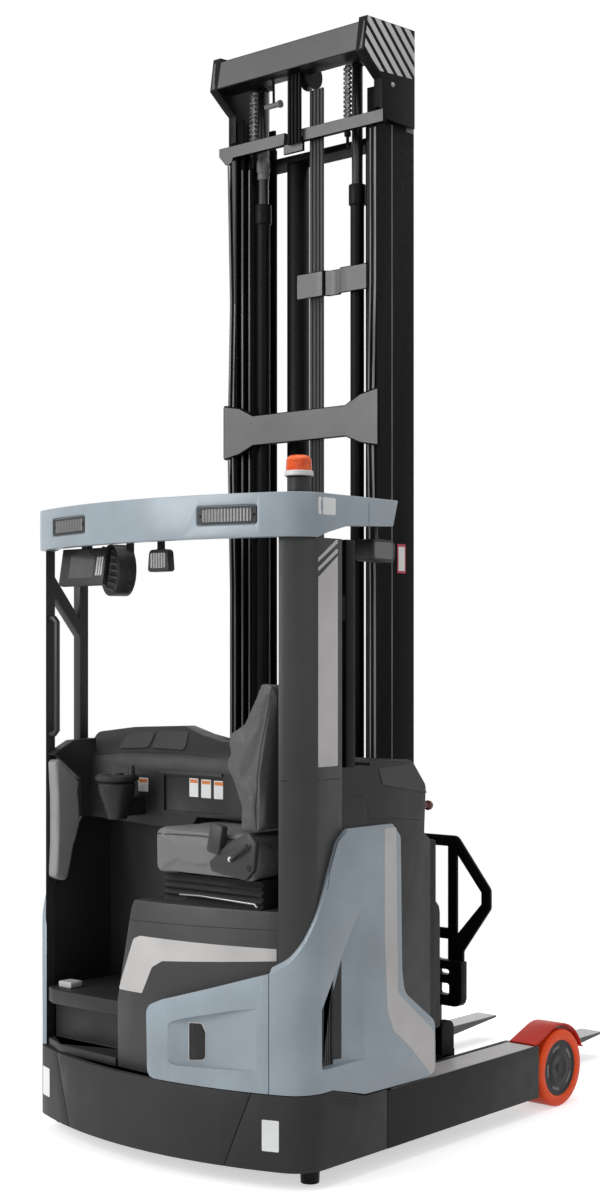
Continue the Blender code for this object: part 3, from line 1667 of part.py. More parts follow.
def make_outer_mast():
    span = (MAST_BOTTOM_Z, OUTER_TOP_Z)
    mast = plate("outer_mast", rail_section(0, -1), "xy", span, RAIL_STEEL)
    left = plate("outer_rail_left", rail_section(0, 1), "xy", span, RAIL_STEEL)
    tie_x = (MAST_REAR_X - 0.014, MAST_REAR_X + 0.004)
    top = plate(
        "upper_tie",
        [
            (TIE_GAP_Y[1], UPPER_TIE_Z[0]),
            (0.320, UPPER_TIE_Z[0]),
            (0.330, UPPER_TIE_Z[0] - 0.020),
            (0.360, UPPER_TIE_Z[0] - 0.020),
            (UPPER_TIE_HALF, UPPER_TIE_Z[1] - 0.030),
            (UPPER_TIE_HALF, UPPER_TIE_Z[1]),
            (TIE_GAP_Y[1], UPPER_TIE_Z[1]),
        ],
        "yz",
        tie_x,
        BLACK_STEEL,
    )
    top_right = block("upper_tie_right", tie_x, (-UPPER_TIE_HALF, TIE_GAP_Y[0]), UPPER_TIE_Z, BLACK_STEEL)
    guide = block(
        "hose_guide",
        (tie_x[0] - 0.004, tie_x[1] - 0.012),
        (TIE_GAP_Y[0] - 0.012, TIE_GAP_Y[1] + 0.002),
        (UPPER_TIE_Z[0] - 0.036, UPPER_TIE_Z[0] + 0.016),
        BLACK_STEEL,
    )
    bracket = plate(
        "hose_bracket",
        [
            (tie_x[1] - 0.004, 0.018),
            (tie_x[1] - 0.004, -0.108),
            (tie_x[1] + 0.014, -0.122),
            (tie_x[1] + 0.014, -0.172),
            (tie_x[1] - 0.004, -0.186),
            (tie_x[1] - 0.004, -MAST_HALF + 0.01),
            (tie_x[1], -MAST_HALF + 0.01),
            (tie_x[1], -0.188),
            (tie_x[1] + 0.018, -0.174),
            (tie_x[1] + 0.018, -0.120),
            (tie_x[1], -0.106),
            (tie_x[1], 0.018),
        ],
        "xy",
        HOSE_BRACKET_Z,
        BLACK_STEEL,
    )
    anchors = []
    for ending, side in (("right", -1), ("left", 1)):
        stud = rod(
            "chain_stud_" + ending,
            (CHAIN_X, side * CYLINDER_Y, UPPER_TIE_Z[0] - 0.055),
            (CHAIN_X, side * CYLINDER_Y, UPPER_TIE_Z[0] + 0.01),
            0.006,
            BLACK_STEEL,
            12,
        )
        nut = rod(
            "chain_nut_" + ending,
            (CHAIN_X, side * CYLINDER_Y, UPPER_TIE_Z[0] - 0.020),
            (CHAIN_X, side * CYLINDER_Y, UPPER_TIE_Z[0] - 0.004),
            0.013,
            BLACK_STEEL,
            6,
        )
        anchors.append(join(stud, nut))
    bow = plate(
        "middle_tie",
        rounded(
            [
                (-MAST_HALF - 0.02, 2.41, 0.01),
                (-MAST_HALF + 0.07, 2.43, 0.03),
                (-MAST_HALF + 0.13, 2.457, 0.0),
                (MAST_HALF - 0.13, 2.457, 0.0),
                (MAST_HALF - 0.07, 2.43, 0.03),
                (MAST_HALF + 0.02, 2.41, 0.01),
                (MAST_HALF + 0.02, 2.62, 0.01),
                (MAST_HALF - 0.07, 2.60, 0.03),
                (MAST_HALF - 0.13, 2.568, 0.0),
                (-MAST_HALF + 0.13, 2.568, 0.0),
                (-MAST_HALF + 0.07, 2.60, 0.03),
                (-MAST_HALF - 0.02, 2.62, 0.01),
            ],
            3,
        ),
        "yz",
        tie_x,
        BLACK_STEEL,
    )
    low = tie("lower_tie", tie_x, MAST_HALF, (0.70, 0.82))
    foot = tie("mast_foot", (MAST_REAR_X, FOOT_FRONT_X), MAST_HALF, stage_foot(0))
    join(mast, top, top_right, bow, low, foot, left, guide, bracket, *anchors)
    return carry(mast, REACH_AXIS)


def make_lift_cylinder(ending, side):
    y = side * CYLINDER_Y
    foot_z = stage_foot(0)[1] + FIT
    bore = ROD_RADIUS + 0.0005
    barrel = turned(
        "lift_cylinder_" + ending,
        [
            (bore, BARREL_TOP_Z),
            (BARREL_RADIUS + 0.006, BARREL_TOP_Z),
            (BARREL_RADIUS + 0.006, BARREL_TOP_Z - 0.07),
            (BARREL_RADIUS, BARREL_TOP_Z - 0.075),
            (BARREL_RADIUS, foot_z),
            (bore, foot_z),
        ],
        (CYLINDER_X, y, 0.0),
        (0, 0, 1),
        BLACK_STEEL,
        20,
    )
    return carry(barrel, REACH_AXIS)


CHEEK_BOTTOM_Z = 3.568
CHEEK_REAR_X = -0.738
CHEEK_FRONT_X = -0.547
CHEEK_GAP_Y = 0.0055
CHEEK_PLATE = 0.011
HEAD_HALF = MAST_HALF + CHEEK_GAP_Y + CHEEK_PLATE
HEAD_REAR_X = -0.820
HEAD_FRONT_X = -0.745
HEAD_BOTTOM_Z = 3.783
HEAD_TOP_Z = 3.890
LUG_BOTTOM_Z = 3.790
SHEAVE_X = -0.728
SHEAVE_RADIUS = 0.050
HOSE_RADIUS = 0.007
HOSE_PITCH = 0.0165
ROD_BOTTOM_Z = 0.30
SLIDE_GAP = 0.0006
PAD_X = (-0.68, -0.60)
PAD_Z = (0.45, 3.2)
PAD_LENGTH = 0.08
INNER_TIE_Z = (3.512, 3.536)


def make_middle_rail(ending, side):
    """One rail of the middle stage, with the slide pads that the inner rail runs on."""
    bottom = stage_foot(1)[0]
    top = bottom + MIDDLE_LENGTH
    rail = plate("middle_rail_" + ending, rail_section(1, side), "xy", (bottom, top), RAIL_STEEL)
    inner_face = MAST_HALF - 2 * STAGE_STEP_Y + SLIDE_GAP
    for index, z in enumerate(PAD_Z):
        pad = block(
            "slide_pad_%s_%d" % (ending, index),
            PAD_X,
            side_span(side, inner_face, MAST_HALF - STAGE_STEP_Y - RAIL_WEB / 2),
            (z, z + PAD_LENGTH),
            BLACK_STEEL,
        )
        join(rail, pad)
    return carry(rail, MIDDLE_AXIS)


def make_middle_foot():
    """The plate that ties the feet of the middle rails."""
    half = MAST_HALF - STAGE_STEP_Y - RAIL_WEB - FIT
    return carry(tie("middle_foot", FOOT_X, half, stage_foot(1)), MIDDLE_AXIS)


def make_lift_rod(ending, side):
    """A chromed rod that stands in its barrel and carries the crosshead."""
    ram = rod(
        "lift_rod_" + ending,
        (CYLINDER_X, side * CYLINDER_Y, ROD_BOTTOM_Z),
        (CYLINDER_X, side * CYLINDER_Y, LUG_BOTTOM_Z - FIT),
        ROD_RADIUS,
        BRIGHT_STEEL,
        20,
    )
    return carry(ram, MIDDLE_AXIS)


def make_crosshead():
    """The head that ties the tops of the middle rails, its cheeks hung outside the outer rails."""
    inner_y = MAST_HALF - STAGE_STEP_Y + FIT
    head = plate(
        "crosshead",
        [
            (HEAD_REAR_X - 0.019, HEAD_BOTTOM_Z),
            (HEAD_FRONT_X, HEAD_BOTTOM_Z),
            (HEAD_FRONT_X, HEAD_TOP_Z),
            (HEAD_REAR_X, HEAD_TOP_Z),
        ],
        "xz",
        (-HEAD_HALF + 0.001, HEAD_HALF - 0.001),
        BLACK_STEEL,
    )
    cheek_outline = [
        (HEAD_REAR_X - 0.021, HEAD_BOTTOM_Z - 0.003),
        (CHEEK_REAR_X - 0.025, 3.722),
        (CHEEK_REAR_X, 3.706),
        (CHEEK_REAR_X, CHEEK_BOTTOM_Z),
        (CHEEK_FRONT_X, CHEEK_BOTTOM_Z),
        (CHEEK_FRONT_X, CROSSHEAD_TOP_Z),
        (HEAD_REAR_X - 0.002, HEAD_TOP_Z + 0.014),
    ]
    for ending, side in (("right", -1), ("left", 1)):
        cheek = plate(
            "crosshead_cheek_" + ending,
            cheek_outline,
            "xz",
            side_span(side, inner_y, HEAD_HALF),
            BLACK_STEEL,
        )
        room = block(
            "cheek_room_" + ending,
            (CHEEK_REAR_X - 0.05, CHEEK_FRONT_X + 0.05),
            side_span(side, inner_y - 0.01, HEAD_HALF - CHEEK_PLATE),
            (CHEEK_BOTTOM_Z - 0.05, OUTER_TOP_Z + RUNNING_GAP),
            BLACK_STEEL,
        )
        cut(cheek, room)
        lug = block(
            "rod_lug_" + ending,
            (HEAD_FRONT_X - 0.01, CYLINDER_X + 0.025),
            side_span(side, CYLINDER_Y - 0.03, CYLINDER_Y + 0.03),
            (LUG_BOTTOM_Z, LUG_BOTTOM_Z + 0.07),
            BLACK_STEEL,
        )
        join(head, cheek, lug)
    sheave = turned(
        "hose_sheave",
        [
            (0.0, 0.018),
            (SHEAVE_RADIUS, 0.018),
            (SHEAVE_RADIUS - 0.008, 0.006),
            (SHEAVE_RADIUS - 0.008, -0.006),
            (SHEAVE_RADIUS, -0.018),
            (0.0, -0.018),
        ],
        (SHEAVE_X, -0.027, HEAD_BOTTOM_Z),
        (0, 1, 0),
        BLACK_STEEL,
        20,
    )
    join(head, sheave)
    hose_x = MAST_REAR_X - 0.030
    for index in range(4):
        y = 0.027 - index * HOSE_PITCH
        hose = rod(
            "head_hose_%d" % index,
            (hose_x, y, UPPER_TIE_Z[0] - 0.010),
            (hose_x, y, HEAD_BOTTOM_Z + 0.02),
            HOSE_RADIUS,
            BLACK_STEEL,
            10,
        )
        join(head, hose)
    return carry(head, MIDDLE_AXIS)


FREE_CYLINDER_Y = 0.126
FREE_CYLINDER_X = -0.615


def make_inner_mast():
    bottom = stage_foot(2)[0]
    top = bottom + INNER_LENGTH
    mast = plate("inner_mast", rail_section(2, -1), "xy", (bottom, top), RAIL_STEEL)
    left = plate("inner_rail_left", rail_section(2, 1), "xy", (bottom, top), RAIL_STEEL)
    half = MAST_HALF - 2 * STAGE_STEP_Y - 0.006
    upper = tie("inner_upper_tie", FOOT_X, half, INNER_TIE_Z)
    join(mast, upper, left)
    return carry(mast, INNER_AXIS)


def make_free_lift_cylinder():
    """The cylinder of the first lift, which stands on the inner stage's foot plate."""
    half = MAST_HALF - 2 * STAGE_STEP_Y - RAIL_LIP - FIT
    foot = tie("free_lift_cylinder", FOOT_X, half, stage_foot(2))
    ram = rod(
        "free_lift_barrel",
        (FREE_CYLINDER_X, FREE_CYLINDER_Y, stage_foot(2)[0] + 0.005),
        (FREE_CYLINDER_X, FREE_CYLINDER_Y, INNER_TIE_Z[0] - FIT),
        0.042,
        BLACK_STEEL,
        24,
    )
    return carry(join(foot, ram), INNER_AXIS)


CHAIN_PITCH = 0.0165


def make_chain(ending, side):
    """A leaf chain: packs of link plates on a narrow core, from its anchor to the head."""
    y = side * CYLINDER_Y
    low, high = UPPER_TIE_Z[1] + FIT, HEAD_BOTTOM_Z - 0.008
    chain = block(
        "lift_chain_" + ending,
        (CHAIN_X - 0.006, CHAIN_X + 0.006),
        (y - 0.008, y + 0.008),
        (low, high),
        BLACK_STEEL,
    )
    count = int((high - low - 0.004) / CHAIN_PITCH)
    for index in range(count):
        z = low + 0.004 + index * CHAIN_PITCH
        pack = block(
            "chain_pack_%s_%d" % (ending, index),
            (CHAIN_X - 0.007, CHAIN_X + 0.007),
            (y - 0.014, y + 0.014),
            (z, z + CHAIN_PITCH * 0.62),
            BLACK_STEEL,
        )
        join(chain, pack)
    return carry(chain, REACH_AXIS)


def make_hoses():
    """The flat bundle of hoses up the middle of the mast, clamped to the inside of the middle tie."""
    face = MAST_REAR_X + 0.004 + FIT
    x = face + 0.012
    clamp = block("hose_bundle", (face, x), (-0.100, -0.030), (2.49, 2.53), HOSE_RUBBER)
    for index in range(4):
        y = -0.040 - index * HOSE_PITCH
        hose = rod("hose_%d" % index, (x, y, 1.0), (x, y, HEAD_BOTTOM_Z - 0.055), HOSE_RADIUS, HOSE_RUBBER, 10)
        join(clamp, hose)
    return carry(clamp, REACH_AXIS)


def make_fork_carriage():
    carriage = block("fork_carriage", (-0.505, -0.485), (-0.40, 0.40), (0.16, 0.56), BLACK_STEEL)
    for ending, side in (("right", -1), ("left", 1)):
        arm = plate(
            "carriage_arm_" + ending,
            rounded([(-0.658, 0.16, 0.02), (-0.49, 0.16, 0.0), (-0.49, 0.60, 0.0), (-0.658, 0.60, 0.02)], 3),
            "xz",
            side_span(side, 0.235, 0.255),
            BLACK_STEEL,
        )
        join(carriage, arm)
        for index, z in enumerate((0.24, 0.52)):
            roller = rod(
                "carriage_roller_%s_%d" % (ending, index),
                (-0.64, side * 0.263, z),
                (-0.64, side * 0.2915, z),
                0.0615,
                BLACK_STEEL,
                24,
            )
            pin = rod(
                "carriage_pin_%s_%d" % (ending, index),
                (-0.635, side * 0.245, z),
                (-0.635, side * 0.28, z),
                0.022,
                BLACK_STEEL,
                16,
            )
            join(carriage, pin, roller)
    window = block("carriage_window", (-0.60, -0.40), (-0.20, 0.20), (0.24, 0.44), BLACK_STEEL)
    cut(carriage, window)
    return carry(carriage, CARRIAGE_AXIS)


def make_side_shift():
    frame = plate(
        "side_shift_frame", box_outline((-0.39, 0.39), (0.17, 0.55), 0.02, 2), "yz", (-0.4847, -0.45), BLACK_STEEL
    )
    cut(frame, block("shift_window", (-0.60, -0.40), (-0.22, 0.22), (0.25, 0.43), BLACK_STEEL))
    for ending, side in (("right", -1), ("left", 1)):
        lug = plate(
            "tilt_lug_" + ending,
            rounded([(-0.455, 0.455, 0.0), (-0.395, 0.47, 0.02), (-0.395, 0.53, 0.02), (-0.455, 0.545, 0.0)], 3),
            "xz",
            side_span(side, 0.28, 0.30),
            BLACK_STEEL,
        )
        pin = rod(
            "tilt_pin_" + ending, (TILT_X, side * 0.285, TILT_Z), (TILT_X, side * 0.335, TILT_Z), 0.009, BLACK_STEEL, 16
        )
        join(frame, lug, pin)
    return carry(frame, SHIFT_AXIS)


PLATE_REAR_X = -0.385
PLATE_FRONT_X = -0.350


def make_fork_frame():
    frame = plate(
        "fork_frame",
        rounded(
            [
                (-0.455, 0.40, 0.03),
                (0.455, 0.40, 0.03),
                (0.455, 0.565, 0.005),
                (-0.455, 0.565, 0.005),
            ],
            3,
        ),
        "yz",
        (PLATE_REAR_X, PLATE_FRONT_X),
        BLACK_STEEL,
    )
    lower = block("fork_frame_lower", (PLATE_REAR_X, PLATE_FRONT_X), (-0.40, 0.40), (0.15, 0.24), BLACK_STEEL)
    join(frame, lower)
    for ending, side in (("right", -1), ("left", 1)):
        upright = block(
            "fork_frame_upright_" + ending,
            (PLATE_REAR_X, PLATE_FRONT_X),
            side_span(side, 0.10, 0.16),
            (0.2, 0.45),
            BLACK_STEEL,
        )
        ear = plate(
            "tilt_ear_" + ending,
            rounded([(-0.430, 0.475, 0.02), (-0.38, 0.475, 0.0), (-0.38, 0.525, 0.0), (-0.430, 0.525, 0.02)], 3),
            "xz",
            side_span(side, 0.308, 0.330),
            BLACK_STEEL,
        )
        join(frame, upright, ear)
        hole = rod(
            "tilt_hole_" + ending, (TILT_X, side * 0.29, TILT_Z), (TILT_X, side * 0.35, TILT_Z), 0.0096, BLACK_STEEL, 16
        )
        cut(frame, hole)
        for index, (low, high) in enumerate(((0.513, 0.533), (0.44, 0.482))):
            cut(
                frame,
                plate(
                    "fork_frame_slot_%s_%d" % (ending, index),
                    box_outline(side_span(side, 0.345, 0.400), (low, high), 0.008, 2),
                    "yz",
                    (PLATE_REAR_X - 0.05, PLATE_FRONT_X + 0.05),
                    BLACK_STEEL,
                ),
            )
    return carry(frame, TILT_AXIS)


def make_backrest():
    """The load backrest: a frame of flat bars on top of the fork frame."""
    front, rear = PLATE_FRONT_X, PLATE_FRONT_X - 0.012
    outline = rounded(
        [
            (-0.446, 0.5653, 0.0),
            (-0.446, 0.60, 0.02),
            (-0.566, 0.765, 0.02),
            (-0.566, 0.835, 0.03),
            (-0.42, 1.02, 0.03),
            (0.42, 1.02, 0.03),
            (0.566, 0.835, 0.03),
            (0.566, 0.765, 0.02),
            (0.446, 0.60, 0.02),
            (0.446, 0.5653, 0.0),
        ],
        3,
    )
    rest = plate("load_backrest", outline, "yz", (rear, front), BLACK_STEEL)
    centre = rounded([(-0.378, 0.68, 0.0), (0.378, 0.68, 0.0), (0.378, 0.98, 0.0), (-0.378, 0.98, 0.0)])
    cut(rest, plate("backrest_window", centre, "yz", (rear - 0.05, front + 0.05), BLACK_STEEL))
    cut(rest, block("backrest_low_window", (rear - 0.05, front + 0.05), (-0.378, 0.378), (0.56, 0.64), BLACK_STEEL))
    for ending, side in (("right", -1), ("left", 1)):
        corner = [
            (side * 0.418, 0.66),
            (side * 0.526, 0.780),
            (side * 0.526, 0.822),
            (side * 0.418, 0.955),
        ]
        cut(
            rest,
            plate("backrest_side_window_" + ending, corner, "yz", (rear - 0.05, front + 0.05), BLACK_STEEL),
        )
    return carry(rest, TILT_AXIS)


FORK_Y = 0.265
FORK_WIDTH = 0.10
FORK_THICKNESS = 0.040
FORK_TOP_Z = 0.105


def make_fork(ending, side):
    back = PLATE_FRONT_X + FIT
    front = back + FORK_THICKNESS
    top, bottom = FORK_TOP_Z, FORK_TOP_Z - FORK_THICKNESS
    outline = rounded(
        [
            (back, bottom, 0.03),
            (FORK_TIP_X - 0.35, bottom, 0.0),
            (FORK_TIP_X, top - 0.010, 0.0),
            (FORK_TIP_X, top, 0.0),
            (front, top, 0.02),
            (front, 0.56, 0.005),
            (back, 0.56, 0.005),
        ],
        4,
    )
    y = side * FORK_Y
    fork = plate("fork_" + ending, outline, "xz", (y - FORK_WIDTH / 2, y + FORK_WIDTH / 2), BRIGHT_STEEL)
    return carry(fork, TILT_AXIS)


both_sides(make_leg)
both_sides(make_load_wheel)
both_sides(make_wheel_guard)
make_chassis()
make_drive_unit()
make_skirt()
both_sides(make_side_cover)
make_rear_cover()
make_body_housing()
make_battery()
make_corner_pillar()
make_left_guard_frame()
make_right_front_post()
make_guard_fascia()
make_roof()
make_beacon()
make_roof_equipment()
make_grab_handle()
make_cab_floor()
make_seat_hood()
make_dashboard()
make_side_pad()
make_steering()
make_seat()
make_reach_carriage()
make_outer_mast()
both_sides(make_lift_cylinder)
both_sides(make_middle_rail)
make_middle_foot()
both_sides(make_lift_rod)
make_crosshead()
make_inner_mast()
make_free_lift_cylinder()
both_sides(make_chain)
make_hoses()
make_fork_carriage()
make_side_shift()
make_fork_frame()
make_backrest()
both_sides(make_fork)
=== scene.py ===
"""The looks of a sit-on reach truck, piece by piece round its model. Metres, +Z up, forks along +X."""

import json
import math

import bmesh
import bpy
import numpy as np
from mathutils import Matrix, Vector
from mathutils.bvhtree import BVHTree

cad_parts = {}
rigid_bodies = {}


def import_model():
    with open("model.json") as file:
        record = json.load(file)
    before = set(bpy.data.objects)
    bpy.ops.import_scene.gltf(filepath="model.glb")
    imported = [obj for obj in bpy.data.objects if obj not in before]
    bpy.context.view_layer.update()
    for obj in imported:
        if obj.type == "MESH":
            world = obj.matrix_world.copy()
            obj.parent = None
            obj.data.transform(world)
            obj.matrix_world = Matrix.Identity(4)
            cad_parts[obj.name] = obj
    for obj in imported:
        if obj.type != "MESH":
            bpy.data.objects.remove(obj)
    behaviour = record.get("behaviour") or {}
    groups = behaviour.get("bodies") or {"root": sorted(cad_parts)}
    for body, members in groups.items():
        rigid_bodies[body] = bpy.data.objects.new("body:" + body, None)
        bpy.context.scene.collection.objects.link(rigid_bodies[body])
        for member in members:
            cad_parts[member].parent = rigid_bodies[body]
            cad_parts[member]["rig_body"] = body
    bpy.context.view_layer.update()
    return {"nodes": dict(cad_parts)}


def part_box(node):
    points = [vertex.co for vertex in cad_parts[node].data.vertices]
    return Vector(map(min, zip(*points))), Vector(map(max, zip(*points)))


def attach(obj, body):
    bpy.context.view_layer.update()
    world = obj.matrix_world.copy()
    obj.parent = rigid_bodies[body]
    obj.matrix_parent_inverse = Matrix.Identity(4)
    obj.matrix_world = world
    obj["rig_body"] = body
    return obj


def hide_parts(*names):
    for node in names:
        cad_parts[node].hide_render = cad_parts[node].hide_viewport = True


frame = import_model()
scene = bpy.context.scene

# Camera. It stands at the right rear of the truck, level, at a little over eye height,
# and its shift keeps the tall mast upright in the picture.
camera_data = bpy.data.cameras.new("camera")
camera_data.sensor_width = 36.0
camera_data.lens = 54.178
camera_data.shift_y = 0.04876
camera_data.clip_end = 100.0
camera = bpy.data.objects.new("camera", camera_data)
camera.location = (-5.3275, -4.255, 1.6773)
camera.rotation_euler = (math.radians(90), 0.0, math.radians(-49.4037))
scene.collection.objects.link(camera)
scene.camera = camera

# Studio. A pale floor with soft lamps round the truck, as for a catalogue picture. The background
# is white to the camera and in mirroring surfaces only, so that it adds no light of its own.
scene.view_settings.view_transform = "Standard"
WHITE = (1.0, 1.0, 1.0, 1.0)
ROOM_GLOW = 0.42
FLOOR_GREY = (0.86, 0.86, 0.86)
FLOOR_GLOW = 0.56
FLOOR_HALF = 40.0
SHADOW_REACH = (1.9, 3.6)


def added(tree, kind, values=None, links=None, **settings):
    """A new node in a tree, with its settings, and with its inputs' values and links by socket."""
    node = tree.nodes.new("ShaderNode" + kind)
    for name, value in settings.items():
        setattr(node, name, value)
    for socket, value in (values or {}).items():
        node.inputs[socket].default_value = value
    for socket, source in (links or {}).items():
        tree.links.new(source, node.inputs[socket])
    return node


def larger(tree, one, two):
    return added(tree, "Math", links={0: one, 1: two}, operation="MAXIMUM").outputs["Value"]


def blended(tree, share, one, two):
    return added(tree, "MixShader", links={0: share, 1: one, 2: two}).outputs["Shader"]


def new_look(name, colour, roughness, metallic=0.0, coat=0.0, coat_roughness=0.1, shine=0.5):
    """A new finish; shine is how strongly its surface mirrors the room."""
    look = bpy.data.materials.new(name)
    look.use_nodes = True
    shader = look.node_tree.nodes["Principled BSDF"]
    shader.inputs["Base Color"].default_value = (*colour, 1.0)
    shader.inputs["Roughness"].default_value = roughness
    shader.inputs["Metallic"].default_value = metallic
    shader.inputs["Specular IOR Level"].default_value = shine
    shader.inputs["Coat Weight"].default_value = coat
    shader.inputs["Coat Roughness"].default_value = coat_roughness
    return look


world = bpy.data.worlds.new("studio")
world.use_nodes = True
scene.world = world
room = world.node_tree
room_light = room.nodes["Background"]
room_light.inputs["Color"].default_value = WHITE
room_light.inputs["Strength"].default_value = ROOM_GLOW
room_wall = added(room, "Background", {"Color": WHITE, "Strength": 1.0})
ray = added(room, "LightPath").outputs
meets_wall = larger(room, ray["Is Camera Ray"], ray["Is Glossy Ray"])
meets_wall = larger(room, meets_wall, ray["Is Transmission Ray"])
room_shown = blended(room, meets_wall, room_light.outputs["Background"], room_wall.outputs["Background"])
room.links.new(room_shown, room.nodes["World Output"].inputs["Surface"])

floor_mesh = bpy.data.meshes.new("studio_floor")
floor_corners = [(x * FLOOR_HALF, y * FLOOR_HALF, 0) for x, y in ((-1, -1), (1, -1), (1, 1), (-1, 1))]
floor_mesh.from_pydata(floor_corners, [], [(0, 1, 2, 3)])
floor = bpy.data.objects.new("studio_floor", floor_mesh)
scene.collection.objects.link(floor)
floor_look = new_look("studio_floor", FLOOR_GREY, 0.9, shine=0.0)
tree = floor_look.node_tree
floor_paint = tree.nodes["Principled BSDF"].outputs["BSDF"]
ray = added(tree, "LightPath").outputs
floor_seen = larger(tree, ray["Is Camera Ray"], ray["Is Glossy Ray"])
floor_lift = added(tree, "Emission", {"Strength": FLOOR_GLOW}).outputs["Emission"]
floor_near = added(tree, "AddShader", links={0: floor_paint, 1: floor_lift}).outputs["Shader"]
floor_far = added(tree, "Emission", {"Strength": 1.0}).outputs["Emission"]
floor_place = added(tree, "TexCoord").outputs["Object"]
floor_reach = added(tree, "VectorMath", links={0: floor_place}, operation="LENGTH").outputs["Value"]
floor_fade = added(
    tree, "MapRange", {"From Min": SHADOW_REACH[0], "From Max": SHADOW_REACH[1]}, {"Value": floor_reach},
    interpolation_type="SMOOTHSTEP",
).outputs["Result"]
floor_backdrop = blended(tree, floor_fade, floor_near, floor_far)
floor_shown = blended(tree, floor_seen, floor_paint, floor_backdrop)
tree.links.new(floor_shown, tree.nodes["Material Output"].inputs["Surface"])
floor_mesh.materials.append(floor_look)


def softbox(name, place, aim, size, watts):
    """A square lamp at a place, turned towards a point."""
    lamp = bpy.data.lights.new(name, "AREA")
    lamp.shape = "RECTANGLE"
    lamp.size, lamp.size_y = size
    lamp.energy = watts
    holder = bpy.data.objects.new(name, lamp)
    holder.location = place
    holder.rotation_mode = "QUATERNION"
    holder.rotation_quaternion = (Vector(place) - Vector(aim)).to_track_quat("Z", "Y")
    scene.collection.objects.link(holder)


softbox("right_softbox", (-1.0, -7.0, 5.0), (0.0, 0.0, 1.6), (3.5, 5.0), 40.0)
softbox("rear_softbox", (-6.5, 2.2, 4.0), (-0.6, 0.0, 1.4), (3.5, 5.0), 290.0)
softbox("top_softbox", (0.0, 0.0, 8.0), (0.0, 0.0, 0.0), (5.0, 5.0), 220.0)


# Chassis, carriages and the other welded steelwork. Rolled plate and box section, shot-blasted
# and sprayed satin black, with its cut edges rounded by the paint.
BLACK_PAINT = (0.0045, 0.0045, 0.0047)
NOISE_SPAN = (0.3, 0.7)
WELD_GAP = 0.00003
FLAT_ANGLE = math.radians(0.6)


def surface_place(tree, stretch=(1.0, 1.0, 1.0)):
    """Where a point lies on the piece, in its own metres."""
    place = added(tree, "TexCoord").outputs["Object"]
    return added(tree, "Mapping", {"Scale": stretch}, {"Vector": place}).outputs["Vector"]


def noise(tree, place, scale, detail=3.0, roughness=0.55):
    values = {"Scale": scale, "Detail": detail, "Roughness": roughness}
    return added(tree, "TexNoise", values, {"Vector": place}).outputs["Fac"]


def ranged(tree, value, low, high, new_low, new_high):
    values = {"From Min": low, "From Max": high, "To Min": new_low, "To Max": new_high}
    return added(tree, "MapRange", values, {"Value": value}).outputs["Result"]


def spread(tree, value, new_low=0.0, new_high=1.0):
    """A noise carried from the middle span, where nearly all of it lies, to a new span."""
    return ranged(tree, value, *NOISE_SPAN, new_low, new_high)


def tinted(tree, value, dark, pale):
    colours = {"A": (*dark, 1.0), "B": (*pale, 1.0)}
    return added(tree, "Mix", colours, {"Factor": value}, data_type="RGBA").outputs["Result"]


def shades(colour, dull, bright):
    """A colour made darker by one factor and paler by another."""
    return [tuple(min(1.0, channel * factor) for channel in colour) for factor in (dull, bright)]


def bumped(tree, height, distance, strength):
    values = {"Distance": distance, "Strength": strength}
    return added(tree, "Bump", values, {"Height": height}).outputs["Normal"]


def plug(look, **sockets):
    """Link finished values to the sockets of a look's main shader."""
    shader = look.node_tree.nodes["Principled BSDF"]
    for name, value in sockets.items():
        look.node_tree.links.new(value, shader.inputs[name.replace("_", " ")])
    return look


def sprayed_look(name, colour, roughness, flow=0.00012, coat=0.0, shine=0.5):
    """Sprayed paint: faint orange peel, a slight drift of shade and duller patches."""
    look = new_look(name, colour, roughness, coat=coat, coat_roughness=0.18, shine=shine)
    tree = look.node_tree
    place = surface_place(tree)
    return plug(
        look,
        Base_Color=tinted(tree, spread(tree, noise(tree, place, 3.5)), *shades(colour, 0.86, 1.12)),
        Roughness=spread(tree, noise(tree, place, 22.0), roughness - 0.05, roughness + 0.07),
        Normal=bumped(tree, noise(tree, place, 260.0, 2.0), flow, 0.6),
    )


black_steel = sprayed_look("black_steel", BLACK_PAINT, 0.40, shine=0.10)
BLACK = black_steel, "black_steel"
made = {}


def applied(holder):
    """The mesh that an object shows, with its modifiers used up."""
    graph = bpy.context.evaluated_depsgraph_get()
    mesh = bpy.data.meshes.new_from_object(holder.evaluated_get(graph))
    holder.modifiers.clear()
    return mesh


def as_piece(name, mesh, look, body, corner=None):
    """A mesh as a piece that rides on a body, smooth but for edges sharper than the corner angle."""
    mesh.materials.clear()
    mesh.materials.append(look)
    for polygon in mesh.polygons:
        polygon.use_smooth = True
    if corner is not None:
        mesh.set_sharp_from_angle(angle=math.radians(corner))
    piece = bpy.data.objects.new(name, mesh)
    scene.collection.objects.link(piece)
    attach(piece, body)
    made[name] = piece
    return piece


def finished(node, look, slot, edge=0.002, turns=2, corner=30.0):
    """A CAD node as it leaves the paint shop: the same shape with its sharp edges rounded."""
    source = frame["nodes"][node]
    mesh = source.data.copy()
    mesh.name = node + "_finished"
    bm = bmesh.new()
    bm.from_mesh(mesh)
    bmesh.ops.remove_doubles(bm, verts=bm.verts, dist=WELD_GAP)
    bmesh.ops.dissolve_limit(bm, angle_limit=FLAT_ANGLE, verts=bm.verts, edges=bm.edges)
    bm.to_mesh(mesh)
    bm.free()
    if edge > 0:
        holder = bpy.data.objects.new(node + "_holder", mesh)
        scene.collection.objects.link(holder)
        bevel = holder.modifiers.new("edge", "BEVEL")
        bevel.width = edge
        bevel.segments = turns
        bevel.limit_method = "ANGLE"
        bevel.angle_limit = math.radians(corner)
        mesh = applied(holder)
        bpy.data.objects.remove(holder)
    piece = as_piece(node + "_finished", mesh, look, source["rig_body"], corner)
    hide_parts(node)
    made[node] = piece


